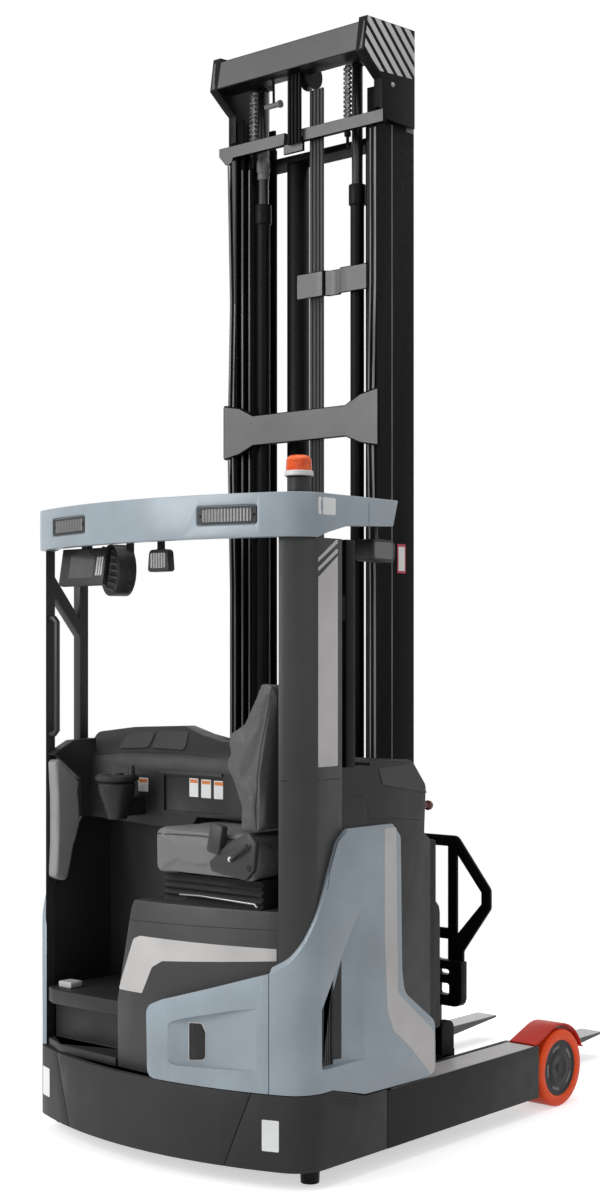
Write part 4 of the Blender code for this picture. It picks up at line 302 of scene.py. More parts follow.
for node, edge in (
    ("chassis_frame", 0.0015),
    ("reach_carriage", 0.003),
    ("fork_carriage", 0.002),
    ("side_shift_frame", 0.002),
    ("fork_frame", 0.002),
    ("load_backrest", 0.003),
    ("battery_block", 0.004),
    ("drive_housing", 0.003),
):
    finished(node, black_steel, "battery" if node == "battery_block" else "black_steel", edge=edge)


# Legs and skirt. Two box-section legs carry the load wheels, and three heavy plates round the tail
# take the knocks and add ballast. All are sprayed in a fine textured charcoal paint.
CHARCOAL = (0.036, 0.0360, 0.0366)


def grained_look(name, colour, roughness, grain=0.00025, size=900.0, shine=0.35):
    """Moulded plastic or textured paint: a fine pebble grain that softens the gloss."""
    look = new_look(name, colour, roughness, shine=shine)
    tree = look.node_tree
    place = surface_place(tree)
    return plug(
        look,
        Base_Color=tinted(tree, spread(tree, noise(tree, place, 2.4)), *shades(colour, 0.88, 1.14)),
        Roughness=spread(tree, noise(tree, place, 14.0), roughness - 0.06, roughness + 0.06),
        Normal=bumped(tree, noise(tree, place, size, 2.0, 0.6), grain, 0.5),
    )


leg_paint = grained_look("leg_paint", (0.022, 0.022, 0.0225), 0.44, shine=0.12)
for node in ("leg_right", "leg_left"):
    finished(node, leg_paint, "black_steel", edge=0.003)
charcoal_skirt = grained_look("charcoal_skirt", CHARCOAL, 0.46, shine=0.12)
for node in ("rear_skirt", "skirt_corner_right", "skirt_corner_left"):
    finished(node, charcoal_skirt, "charcoal_plastic", edge=0.0015)

AXLE_X = 0.39
WAYS = {
    "right": ((0, 1, 0), lambda a, b: (AXLE_X + a, -3.0, b)),
    "left": ((0, -1, 0), lambda a, b: (AXLE_X + a, 3.0, b)),
    "rear": ((1, 0, 0), lambda a, b: (-4.0, a, b)),
    "front": ((-1, 0, 0), lambda a, b: (4.0, a, b)),
    "top": ((0, 0, -1), lambda a, b: (AXLE_X + a, b, 6.0)),
}


def corners_rounded(corners, turns=3):
    """An outline from (a, b, radius) corners, each turned with an arc that meets its two sides."""
    outline = []
    for index, (a, b, radius) in enumerate(corners):
        here = Vector((a, b))
        before = (Vector(corners[index - 1][:2]) - here).normalized()
        after = (Vector(corners[(index + 1) % len(corners)][:2]) - here).normalized()
        if radius <= 0:
            outline.append((a, b))
            continue
        half = before.angle(after) / 2
        centre = here + (before + after).normalized() * (radius / math.sin(half))
        start = here + before * (radius / math.tan(half)) - centre
        end = here + after * (radius / math.tan(half)) - centre
        sweep = start.angle_signed(end)
        for step in range(turns + 1):
            turned = start.copy()
            turned.rotate(Matrix.Rotation(-sweep * step / turns, 2))
            outline.append(tuple(centre + turned))
    return outline


def plate_corners(low, high, radius=0.0, turns=3):
    (a0, b0), (a1, b1) = low, high
    return corners_rounded([(a0, b0, radius), (a1, b0, radius), (a1, b1, radius), (a0, b1, radius)], turns)


def ribbon(points, width):
    """The outline of a line of even width along some points."""
    path = [Vector(point) for point in points]
    sides = [[], []]
    for index, here in enumerate(path):
        ahead = path[min(index + 1, len(path) - 1)] - here
        behind = here - path[max(index - 1, 0)]
        along = (ahead.normalized() + behind.normalized()).normalized()
        across = Vector((-along.y, along.x)) * (width / 2)
        sides[0].append(tuple(here + across))
        sides[1].append(tuple(here - across))
    return sides[0] + sides[1][::-1]


SUNK = 0.0005
FLUTE_STEPS = 4
SAME_POINT = 1e-6


def mesh_of(name, bm):
    """The mesh of a closed shape, with its faces turned outwards."""
    bmesh.ops.recalc_face_normals(bm, faces=bm.faces)
    mesh = bpy.data.meshes.new(name)
    bm.to_mesh(mesh)
    bm.free()
    return mesh


def plane_through(known, outline):
    """The plane that best fits the known depths at an outline's corners."""
    rim = [
        (co, depth) for co, depth in known
        if any((co.xy - Vector(corner)).length < SAME_POINT for corner in outline)
    ]
    sides = np.array([(1.0, co.x, co.y) for co, depth in rim])
    return np.linalg.lstsq(sides, np.array([depth for co, depth in rim]), rcond=None)[0]


def laid(name, outline, way, on, look, slot, proud=0.0008, grid=0.03, flute=None, flat=False):
    """A thin strip or plate whose outline, seen square on, wraps over a finished piece below it.

    flute is (axis, pitch, depth) for ribs along the other axis of the outline; a flat plate
    bridges hollows instead, in the plane of its outline's corners.
    """
    direction, start = WAYS[way]
    direction = Vector(direction)
    under = made[on]
    surface = BVHTree.FromPolygons(
        [vertex.co for vertex in under.data.vertices],
        [tuple(face.vertices) for face in under.data.polygons],
    )
    bm = bmesh.new()
    bm.faces.new([bm.verts.new((a, b, 0.0)) for a, b in outline])
    for axis, normal in enumerate((Vector((1, 0, 0)), Vector((0, 1, 0)))):
        span = [point[axis] for point in outline]
        low, length = min(span), max(span) - min(span)
        count = int(length / (flute[1] / FLUTE_STEPS if flute and flute[0] == axis else grid))
        for index in range(count):
            where = normal * (low + (index + 1) * length / (count + 1))
            geometry = bm.verts[:] + bm.edges[:] + bm.faces[:]
            bmesh.ops.bisect_plane(bm, geom=geometry, plane_co=where, plane_no=normal)
    bmesh.ops.triangulate(bm, faces=[face for face in bm.faces if len(face.verts) > 4])
    tops, faces = list(bm.verts), list(bm.faces)
    edges = [edge for edge in bm.edges if len(edge.link_faces) == 1]
    depths = {}
    for vertex in tops:
        origin = Vector(start(vertex.co.x, vertex.co.y))
        depths[vertex] = surface.ray_cast(origin, direction)[3]
    known = [(vertex.co.copy(), depth) for vertex, depth in depths.items() if depth is not None]
    slope = plane_through(known, outline) if flat else None
    below = {}
    for vertex in tops:
        depth = depths[vertex]
        if flat:
            depth = float(slope @ (1.0, vertex.co.x, vertex.co.y))
        elif depth is None:
            depth = min(known, key=lambda found: (found[0] - vertex.co).length)[1]
        rise = proud
        if flute:
            axis, pitch, height = flute
            rise += height * (0.5 + 0.5 * math.cos(2 * math.pi * vertex.co[axis] / pitch))
        foot = Vector(start(vertex.co.x, vertex.co.y)) + direction * depth
        vertex.co = foot - direction * rise
        below[vertex] = bm.verts.new(foot + direction * SUNK)
    for face in faces:
        bm.faces.new([below[vertex] for vertex in reversed(face.verts)])
    for edge in edges:
        one, two = edge.verts
        bm.faces.new([one, two, below[two], below[one]])
    return as_piece(name, mesh_of(name, bm), look, under["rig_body"], corner=40)


blank_plate = sprayed_look("blank_plate", (0.72, 0.73, 0.73), 0.35, flow=0.00004)
PLATE = blank_plate, "bright_steel"
laid(
    "skirt_plate_right", plate_corners((-0.546, 0.124), (-0.492, 0.222), 0.004), "rear",
    "skirt_corner_right", *PLATE, proud=0.0006,
)
laid(
    "skirt_plate_left", plate_corners((0.512, 0.130), (0.572, 0.230), 0.004), "rear", "skirt_corner_left",
    *PLATE, proud=0.0006,
)


# Rear and side covers. Thick polyurethane mouldings that wrap the rear corners,
# sprayed satin blue-grey and clipped over the chassis so that they lift off for service.
BLUE_GREY = (0.270, 0.322, 0.366)
TRIM_GREY = (0.50, 0.485, 0.48)
blue_grey = sprayed_look("blue_grey_paint", BLUE_GREY, 0.34, flow=0.0001, coat=0.25, shine=0.4)
trim_grey = sprayed_look("trim_grey_paint", TRIM_GREY, 0.45, flow=0.0001)
seam_black = grained_look("seam_black", (0.006, 0.006, 0.006), 0.7)
COVER = blue_grey, "blue_grey_paint"
TRIM = trim_grey, "blue_grey_paint"
SEAM = seam_black, "charcoal_plastic"
for node in ("side_cover_right", "side_cover_left", "rear_cover"):
    finished(node, *COVER, edge=0.0035, turns=3, corner=32.0)

TRIM_STRIP = [
    (-1.067, 1.112, 0.006), (-1.067, 0.737, 0.0), (-1.052, 0.516, 0.03), (-1.021, 0.445, 0.03),
    (-0.926, 0.372, 0.0), (-0.812, 0.262, 0.008), (-0.790, 0.272, 0.012), (-0.798, 0.409, 0.03),
    (-0.997, 0.565, 0.03), (-1.006, 1.112, 0.006),
]
laid("cover_trim_strip", corners_rounded(TRIM_STRIP), "right", "side_cover_right", *TRIM, proud=0.0004)
laid(
    "cover_shell_line", ribbon([(-1.263, 1.118), (-1.308, 1.088), (-1.348, 1.0), (-1.360, 0.94)], 0.0025),
    "right", "side_cover_right", seam_black, "blue_grey_paint", proud=0.0002,
)
HOLE_START = (-1.320, 0.289)
HOLE_PITCH = 0.0135
HOLE_SHIFT = 0.007
HOLE_SLOPE = 0.293
HOLE_HALF = 0.004
ROW_PITCH = 0.0115
for row in range(4):
    for column in range(9 - row):
        a = HOLE_START[0] + column * HOLE_PITCH + row * HOLE_SHIFT
        b = HOLE_START[1] - row * ROW_PITCH - HOLE_SLOPE * (a - HOLE_START[0])
        hole = plate_corners((a - HOLE_HALF, b - HOLE_HALF), (a + HOLE_HALF, b + HOLE_HALF), 0.0035, 2)
        laid(
            "cover_air_hole_%d_%d" % (row, column), hole, "right", "skirt_corner_right", *SEAM,
            proud=0.0003,
        )

# Vent grille. A ribbed black moulding pressed into the window in the rear cover's scoop,
# with a thin light-grey lip round it, a painted highlight on the window's rounded edge.
vent_black = grained_look("vent_black", (0.016, 0.016, 0.016), 0.5)
VENT_PLASTIC = vent_black, "charcoal_plastic"
VENT = [
    (-0.274, 0.384, 0.012), (-0.214, 0.376, 0.004), (-0.214, 0.494, 0.004), (-0.262, 0.497, 0.012),
    (-0.276, 0.470, 0.012),
]
LIP_WIDTH = 0.004
VENT_MIDDLE = (-0.24, 0.45)
lip = []
for y, z, radius in VENT:
    across = LIP_WIDTH if y > VENT_MIDDLE[0] else -LIP_WIDTH
    up = LIP_WIDTH if z > VENT_MIDDLE[1] else -LIP_WIDTH
    lip.append((y + across, z + up, radius))
laid("rear_vent_lip_highlight", corners_rounded(lip), "rear", "rear_cover", *TRIM, proud=0.0012, flat=True)
laid(
    "rear_vent_grille", corners_rounded(VENT), "rear", "rear_cover", *VENT_PLASTIC, proud=0.0018,
    flute=(0, 0.0105, 0.004), flat=True,
)
laid(
    "side_scoop_grille", [(-1.2958, 0.390), (-1.2655, 0.390), (-1.2655, 0.700), (-1.2958, 0.606)], "right",
    "side_cover_right", *VENT_PLASTIC, proud=0.0006, flute=(0, 0.0085, 0.0016),
)


# Overhead guard. A blue-grey fascia runs round the roof, which is a slotted steel plate
# that the operator can see the raised forks through.
finished("guard_fascia", *COVER, edge=0.004, turns=3, corner=32.0)
finished("guard_roof", black_steel, "charcoal_plastic")

# Rear lamps. A smoked, fluted lens in a flat black bezel, held by a screw at each end
# in a recess of the fascia.
def patchy_look(name, colour, roughness, scale, dull, stretch=(1.0, 1.0, 1.0), **finish):
    """A smooth finish whose gloss varies in patches, between two values of roughness."""
    look = new_look(name, colour, roughness, **finish)
    tree = look.node_tree
    patches = noise(tree, surface_place(tree, stretch), scale)
    return plug(look, Roughness=spread(tree, patches, *dull))


smoked_lens = patchy_look(
    "smoked_lens", (0.060, 0.060, 0.062), 0.16, 60.0, (0.12, 0.24), coat=0.5, coat_roughness=0.08,
)
LAMPS = (("right", -0.482, -0.270), ("left", 0.249, 0.471))
LAMP_Z = (2.0945, 2.1495)
BEZEL_GAP = 0.004
LENS_GAP = (0.016, 0.007)
SCREW_GAP = 0.008
SCREW_HALF = 0.004
for ending, low_y, high_y in LAMPS:
    low, high = (low_y + BEZEL_GAP, LAMP_Z[0]), (high_y - BEZEL_GAP, LAMP_Z[1])
    laid(
        "lamp_bezel_" + ending, plate_corners(low, high, 0.006), "rear", "guard_fascia", *VENT_PLASTIC,
        proud=0.004,
    )
    inner_low = (low[0] + LENS_GAP[0], low[1] + LENS_GAP[1])
    inner_high = (high[0] - LENS_GAP[0], high[1] - LENS_GAP[1])
    laid(
        "lamp_lens_" + ending, plate_corners(inner_low, inner_high, 0.004), "rear", "guard_fascia",
        smoked_lens, "amber_lens", proud=0.0046, flute=(0, 0.011, 0.0016),
    )
    for end, y in (("inner", low[0] + SCREW_GAP), ("outer", high[0] - SCREW_GAP)):
        laid(
            "lamp_screw_%s_%s" % (ending, end),
            plate_corners((y - SCREW_HALF, 2.118), (y + SCREW_HALF, 2.126), 0.0039, 4), "rear",
            "guard_fascia", *BLACK, proud=0.0058,
        )
laid(
    "guard_plate", plate_corners((-1.403, 2.122), (-1.320, 2.176), 0.004), "right", "guard_fascia", *PLATE,
    proud=0.0003,
)
laid(
    "guard_joint", ribbon([(-1.150, 2.100), (-1.150, 2.188)], 0.002), "right", "guard_fascia", seam_black,
    "blue_grey_paint", proud=0.0002,
)


# Pillars, posts and body mouldings. Pressed steel posts and grained charcoal mouldings
# that stand behind the covers and carry the guard.
charcoal_plastic = grained_look("charcoal_plastic", (0.036, 0.036, 0.0365), 0.40, shine=0.3)
GREY_PLASTIC = charcoal_plastic, "charcoal_plastic"
cab_black = grained_look("cab_black", (0.018, 0.018, 0.0184), 0.46, shine=0.28)
for node, edge, look in (
    ("corner_pillar", 0.004, charcoal_plastic),
    ("left_guard_frame", 0.003, charcoal_plastic),
    ("right_front_post", 0.003, black_steel),
    ("body_housing", 0.004, cab_black),
    ("seat_hood", 0.006, charcoal_plastic),
    ("dashboard", 0.010, cab_black),
    ("cab_floor", 0.003, cab_black),
    ("grab_handle", 0.0, charcoal_plastic),
    ("steering_console", 0.003, cab_black),
    ("steering_wheel", 0.002, cab_black),
    ("seat_suspension", 0.002, vent_black),
    ("armrest", 0.004, charcoal_plastic),
    ("roof_display", 0.003, vent_black),
    ("cab_fan", 0.003, vent_black),
    ("cab_lamp", 0.006, vent_black),
    ("work_light", 0.006, vent_black),
):
    finished(node, look, "charcoal_plastic", edge=edge)

laid(
    "pillar_stripe",
    corners_rounded(
        [(-1.390, 1.327, 0.003), (-1.295, 1.327, 0.003), (-1.295, 1.995, 0.0), (-1.390, 1.925, 0.0)],
    ),
    "right", "corner_pillar", *TRIM,
)
for number, foot in enumerate((1.943, 1.973)):
    laid(
        "pillar_slash_%d" % number,
        [
            (-1.390, foot), (-1.390, foot + 0.012), (-1.303, foot + 0.073), (-1.295, foot + 0.073),
            (-1.295, foot + 0.063),
        ],
        "right", "corner_pillar", *TRIM,
    )
laid(
    "pillar_joint", ribbon([(-1.500, 1.286), (-1.280, 1.286)], 0.002), "right", "corner_pillar", *SEAM,
    proud=0.0003,
)
laid(
    "housing_joint",
    ribbon([(-1.262, 1.245), (-1.150, 1.215), (-1.135, 1.15), (-1.02, 1.142), (-0.850, 1.124)], 0.002),
    "right", "body_housing", *SEAM, proud=0.0003,
)

laid(
    "housing_panel", [(-1.085, 1.309), (-0.900, 1.318), (-0.822, 1.214), (-1.066, 1.256)], "right",
    "body_housing", *GREY_PLASTIC, proud=0.002,
)

# Seat box stripe. A painted light-grey band that folds round the box's open corner,
# masked and sprayed on the moulded lid.
HOOD_BAND = [
    (0.014, 0.752, 0.02), (-0.534, 0.752, 0.0), (-0.534, 0.716, 0.0), (-0.086, 0.679, 0.0),
    (-0.040, 0.654, 0.02), (0.006, 0.563, 0.006), (0.122, 0.563, 0.006), (0.046, 0.740, 0.02),
]
laid("hood_band", corners_rounded(HOOD_BAND), "rear", "seat_hood", *TRIM)
laid(
    "hood_lid_line", ribbon([(0.070, 0.800), (-0.534, 0.812)], 0.002), "rear", "seat_hood", *SEAM,
    proud=0.0003,
)


# Cab fittings. Small mouldings, levers and screens that the operator reaches from the seat,
# each pressed or screwed to the moulding that carries it.
SHARP = math.radians(40)


def moulded(name, outline, way, span, body, look, slot, edge=0.003):
    """A solid moulding: an outline seen from the side or the rear, its depth, and rounded edges."""
    bm = bmesh.new()
    ends = []
    for depth in span:
        if way == "side":
            points = [(AXLE_X + a, depth, b) for a, b in outline]
        else:
            points = [(AXLE_X + depth, a, b) for a, b in outline]
        ends.append([bm.verts.new(point) for point in points])
    bm.faces.new(ends[0])
    bm.faces.new(ends[1][::-1])
    for index in range(len(outline)):
        after = (index + 1) % len(outline)
        bm.faces.new([ends[0][after], ends[0][index], ends[1][index], ends[1][after]])
    bmesh.ops.recalc_face_normals(bm, faces=bm.faces)
    sharp = [side for side in bm.edges if side.calc_face_angle() > SHARP]
    bmesh.ops.bevel(
        bm, geom=sharp, offset=edge, segments=3, profile=0.5, affect="EDGES", clamp_overlap=True,
    )
    return as_piece(name, mesh_of(name, bm), look, body, corner=32)


def lathed(name, profile, centre, axis, body, look, slot, steps=28):
    """A turned piece: (radius, height) points from the axis at one end to the axis at the other."""
    turn = Vector((0, 0, 1)).rotation_difference(Vector(axis)).to_matrix()
    base = Vector((AXLE_X + centre[0], centre[1], centre[2]))
    bm = bmesh.new()
    rings = []
    for radius, height in profile:
        ring = []
        for step in range(steps if radius > 0 else 1):
            angle = 2 * math.pi * step / steps
            spoke = Vector((radius * math.cos(angle), radius * math.sin(angle), height))
            ring.append(bm.verts.new(base + turn @ spoke))
        rings.append(ring)
    for lower, upper in zip(rings, rings[1:]):
        for step in range(steps):
            ends = (lower, step), (lower, step + 1), (upper, step + 1), (upper, step)
            corners = [ring[place % steps % len(ring)] for ring, place in ends]
            bm.faces.new(list(dict.fromkeys(corners)))
    return as_piece(name, mesh_of(name, bm), look, body, corner=32)


def bar(name, points, radius, body, look, slot):
    """A round bar or lead bent along some points, with closed ends."""
    curve = bpy.data.curves.new(name, "CURVE")
    curve.dimensions = "3D"
    curve.bevel_depth = radius
    curve.bevel_resolution = 4
    curve.use_fill_caps = True
    spline = curve.splines.new("POLY")
    spline.points.add(len(points) - 1)
    for point, place in zip(spline.points, points):
        point.co = (AXLE_X + place[0], place[1], place[2], 1.0)
    holder = bpy.data.objects.new(name + "_path", curve)
    scene.collection.objects.link(holder)
    mesh = applied(holder)
    bpy.data.objects.remove(holder)
    mesh.name = name
    return as_piece(name, mesh, look, body, corner=40)


screen_glass = patchy_look(
    "screen_glass", (0.030, 0.031, 0.033), 0.22, 18.0, (0.16, 0.3), coat=0.6, coat_roughness=0.05,
)
laid(
    "display_screen", plate_corners((0.345, 1.948), (0.470, 2.030), 0.004), "rear", "roof_display",
    screen_glass, "charcoal_plastic", proud=0.001,
)
for number, y in enumerate((0.306, 0.318, 0.330)):
    laid(
        "display_key_%d" % number, plate_corners((y - 0.004, 1.955), (y + 0.004, 2.020), 0.003), "rear",
        "roof_display", *TRIM, proud=0.0015,
    )
laid(
    "cab_lamp_lens", plate_corners((-0.058, 1.968), (0.016, 2.018), 0.010), "rear", "cab_lamp", smoked_lens,
    "charcoal_plastic", proud=0.001, flute=(0, 0.012, 0.0012),
)
laid(
    "work_light_lens", plate_corners((-1.105, 1.996), (-1.008, 2.050), 0.008), "right", "work_light",
    smoked_lens, "charcoal_plastic", proud=0.0002, flute=(0, 0.012, 0.0002),
)
FAN_CENTRE = (0.310, 1.975)
FAN_RADIUS = 0.086
for number in range(7):
    z = 1.905 + number * 0.023
    reach = math.sqrt(max(0.0, FAN_RADIUS**2 - (z - FAN_CENTRE[1]) ** 2))
    laid(
        "fan_rib_%d" % number,
        ribbon([(FAN_CENTRE[0] - reach, z - 0.010), (FAN_CENTRE[0] + reach, z + 0.014)], 0.007), "rear",
        "cab_fan", *GREY_PLASTIC, proud=0.004,
    )
plate_orange = sprayed_look("plate_orange", (0.62, 0.19, 0.04), 0.4, flow=0.00004)
DASH_PLATES = [
    ((0.258, 1.200), (0.308, 1.248)), ((0.026, 1.192), (0.068, 1.256)), ((-0.034, 1.191), (0.012, 1.254)),
    ((-0.098, 1.190), (-0.048, 1.252)),
]
for number, (low, high) in enumerate(DASH_PLATES):
    laid("dash_plate_%d" % number, plate_corners(low, high, 0.003), "rear", "dashboard", *PLATE)
    laid(
        "dash_plate_band_%d" % number,
        plate_corners((low[0] + 0.003, high[1] - 0.016), (high[0] - 0.003, high[1] - 0.004)), "rear",
        "dashboard", plate_orange, "amber_lens", proud=0.0012,
    )
laid(
    "dash_pad_line", ribbon([(-0.06, 1.332), (0.10, 1.340), (0.34, 1.336), (0.535, 1.322)], 0.0035), "rear",
    "dashboard", *SEAM, proud=0.0004,
)
DASH_PADS = {
    "right": [(0.10, 1.350, 0.012), (0.265, 1.354, 0.012), (0.275, 1.412, 0.012), (0.130, 1.412, 0.012)],
    "left": [(0.282, 1.354, 0.012), (0.430, 1.346, 0.012), (0.420, 1.398, 0.012), (0.290, 1.410, 0.012)],
}
for ending, pad in DASH_PADS.items():
    laid("dash_pad_" + ending, corners_rounded(pad), "rear", "dashboard", *GREY_PLASTIC, proud=0.004)
laid(
    "dash_knee_step", plate_corners((-0.10, 1.268), (0.20, 1.279), 0.004), "rear", "dashboard",
    *GREY_PLASTIC, proud=0.006,
)

# Step post, pedals and the seat's levers. A ribbed plastic post guards the step, pads of the same
# plastic sit on short bent steel bars, and the bars are bolted through the floor and the seat.
step_grey = grained_look("step_grey", (0.070, 0.070, 0.070), 0.42)
moulded(
    "step_post", plate_corners((0.004, 0.3004), (0.126, 0.500), 0.004), "rear", (-1.540, -1.519), "truck",
    step_grey, "charcoal_plastic",
)
for number in range(3):
    laid(
        "step_post_rib_%d" % number,
        ribbon([(0.035 + number * 0.030, 0.31), (0.035 + number * 0.030, 0.49)], 0.003), "rear",
        "step_post", *SEAM, proud=0.0003,
    )
lathed(
    "recliner_bolt", [(0, 0.006), (0.005, 0.006), (0.0085, 0.002), (0.0085, 0.0), (0, 0.0)],
    (-1.5204, -0.365, 1.030), (-1, 0, 0), "truck", *PLATE, steps=20,
)
lathed(
    "recliner_pivot", [(0, 0.004), (0.008, 0.004), (0.010, 0.0), (0, 0.0)], (-1.5204, -0.446, 1.006),
    (-1, 0, 0), "truck", seam_black, "black_steel", steps=20,
)
bar(
    "recliner_lever",
    [(-1.524, -0.372, 1.028), (-1.534, -0.400, 1.045), (-1.536, -0.440, 1.070), (-1.532, -0.448, 1.082)],
    0.006, "truck", *VENT_PLASTIC,
)
bright_steel = patchy_look(
    "bright_steel", (0.26, 0.26, 0.26), 0.34, 40.0, (0.22, 0.42), (1, 20, 1), metallic=0.8,
)
BRIGHT = bright_steel, "bright_steel"
bar(
    "bellows_handle",
    [(-1.486, -0.110, 0.893), (-1.486, -0.200, 0.896), (-1.486, -0.440, 0.890), (-1.486, -0.450, 0.880)],
    0.0040, "truck", *BRIGHT,
)
bar(
    "pedal_lever", [(-1.36, 0.170, 0.512), (-1.37, 0.172, 0.56), (-1.38, 0.190, 0.585)], 0.008, "truck",
    *BRIGHT,
)
moulded(
    "pedal_pad", plate_corners((0.165, 0.570), (0.215, 0.600), 0.006), "rear", (-1.395, -1.375), "truck",
    *VENT_PLASTIC,
)
moulded(
    "floor_switch", plate_corners((0.455, 0.5104), (0.520, 0.532), 0.006), "rear", (-1.455, -1.40), "truck",
    *TRIM,
)
stop_red = sprayed_look("stop_knob_red", (0.10, 0.010, 0.008), 0.3)
lathed(
    "stop_knob",
    [
        (0, 0.068), (0.010, 0.067), (0.016, 0.058), (0.017, 0.048), (0.009, 0.042), (0.009, -0.004),
        (0, -0.004),
    ],
    (-0.829, -0.597, 1.168), (1, 0, 0), "truck", stop_red, "red_orange_paint", steps=24,
)


# Mast. Three nested pairs of hot-rolled channels, sprayed black outside,
# with the runways left bare and greased, so that they show faint vertical streaks.
def rolled_look(name, colour, roughness):
    """Hot-rolled bar: long streaks of bare metal and scale along its height."""
    look = new_look(name, colour, roughness, shine=0.03)
    tree = look.node_tree
    streaks = noise(tree, surface_place(tree, (1.0, 1.0, 0.02)), 160.0, 4.0)
    scale = noise(tree, surface_place(tree), 40.0)
    bare = ranged(tree, streaks, 0.35, 0.65, 0.0, 1.0)
    return plug(
        look,
        Base_Color=tinted(tree, bare, *shades(colour, 0.75, 1.5)),
        Roughness=spread(tree, scale, roughness - 0.06, roughness + 0.08),
        Normal=bumped(tree, streaks, 0.0001, 0.4),
    )


mast_steel = rolled_look("mast_steel", (0.0042, 0.0042, 0.0044), 0.42)
# A pale copy of the rail steel, for painted highlights on the rails' lit edges.
rail_light_grey = rolled_look("rail_light_grey_paint", (0.165, 0.165, 0.167), 0.38)
plate_red = sprayed_look("plate_red", (0.42, 0.02, 0.05), 0.4, flow=0.00004)
tie_grey = sprayed_look("tie_grey_paint", (0.115, 0.115, 0.115), 0.42)
RAIL_LIGHT = rail_light_grey, "mast_steel"
TIE = tie_grey, "mast_steel"
RAIL_TOP = {"outer_mast": 3.535}
RAIL_GRID = 0.6
for node in ("outer_mast", "middle_rail_right", "middle_rail_left", "inner_mast"):
    finished(node, mast_steel, "mast_steel", edge=0.0025)
for node in ("middle_foot", "lift_cylinder_right", "lift_cylinder_left", "free_lift_cylinder"):
    finished(node, *BLACK, edge=0.003)
# Light strips down the rear flanges of each stage's rails: painted highlights, where the channels' edges
# catch the light.
for ending, side in (("right", -1), ("left", 1)):
    for number, (node, y, width, low) in enumerate((
        ("outer_mast", 0.3445, 0.0095, 0.32),
        ("outer_mast", 0.3240, 0.0055, 0.32),
        ("middle_rail_" + ending, 0.3030, 0.0070, 0.40),
        ("inner_mast", 0.2840, 0.0060, 0.45),
    )):
        top = RAIL_TOP.get(node, 3.50)
        laid(
            "rail_edge_highlight_%s_%d" % (ending, number),
            plate_corners((side * y - width / 2, low), (side * y + width / 2, top)), "rear", node, *RAIL_LIGHT,
            proud=0.0004, grid=RAIL_GRID,
        )
    laid(
        "rail_side_line_" + ending, plate_corners((-0.662, 0.32), (-0.656, 3.56)), ending, "outer_mast",
        *RAIL_LIGHT, proud=0.0002, grid=RAIL_GRID,
    )
    laid(
        "rail_top_patch_" + ending, plate_corners((-0.576, 3.555), (-0.533, 3.597)), ending, "outer_mast",
        *TIE, proud=0.0004,
    )

# Mast ties. Flat bars welded across the outer channels, and a pressed guide and bracket for the
# hoses, all sprayed in a mid grey that shows every scuff.
TIE_FACES = {
    "upper_tie_face_right": [(-0.391, 3.5445), (-0.016, 3.5445), (-0.016, 3.5865), (-0.391, 3.5865)],
    "upper_tie_face_left": [
        (0.066, 3.5445), (0.320, 3.5445), (0.331, 3.525), (0.359, 3.525), (0.391, 3.559), (0.391, 3.5865),
        (0.066, 3.5865),
    ],
    "hose_guide_face": plate_corners((-0.025, 3.509), (0.064, 3.540), 0.003),
    "middle_tie_face": [
        (-0.366, 2.418), (-0.290, 2.432), (-0.222, 2.460), (0.222, 2.460), (0.290, 2.432), (0.366, 2.418),
        (0.366, 2.612), (0.290, 2.598), (0.222, 2.565), (-0.222, 2.565), (-0.290, 2.598), (-0.366, 2.612),
    ],
}
for name, outline in TIE_FACES.items():
    laid(name, outline, "rear", "outer_mast", *TIE, proud=0.0006)
laid(
    "mast_plate_edge", plate_corners((-0.628, 1.972), (-0.580, 2.076), 0.003), "right", "outer_mast",
    plate_red, "red_orange_paint", proud=0.0006,
)
laid(
    "mast_plate", plate_corners((-0.622, 1.980), (-0.586, 2.066), 0.002), "right", "outer_mast", *PLATE,
    proud=0.0010,
)
laid(
    "hose_bracket_face", plate_corners((-0.305, 2.975), (0.015, 3.061), 0.003), "rear", "outer_mast", *TIE,
    proud=0.0006,
)

# Head of the mast. A folded cover plate between two cheeks, black with a grey back plate,
# its cheeks banded with light warning stripes over the black.
finished("crosshead", *BLACK, edge=0.003)
head_grey = sprayed_look("head_grey_paint", (0.074, 0.074, 0.075), 0.40)
laid(
    "head_back_plate", [(-0.359, 3.787), (0.359, 3.787), (0.359, 3.887), (-0.359, 3.887)], "rear",
    "crosshead", head_grey, "black_steel",
)
CHEEK_FIELD = [(-0.749, 3.7275), (-0.5485, 3.745), (-0.5485, 3.9175), (-0.818, 3.9030), (-0.8365, 3.7860)]
BAND_START = Vector((-0.860, 3.780))
BAND_ACROSS = Vector((0.659, 0.752))
BAND_PITCH = 0.0395
BAND_WIDTH = 0.0225
BAND_SHIFT = -0.012


def trimmed(outline, point, inward):
    """The part of a convex outline on the inward side of a line through a point."""
    kept = []
    for index, here in enumerate(outline):
        after = outline[(index + 1) % len(outline)]
        one = (Vector(here) - point).dot(inward)
        two = (Vector(after) - point).dot(inward)
        if one >= 0:
            kept.append(here)
        if (one > 0) != (two > 0):
            kept.append(tuple(Vector(here).lerp(Vector(after), one / (one - two))))
    return kept


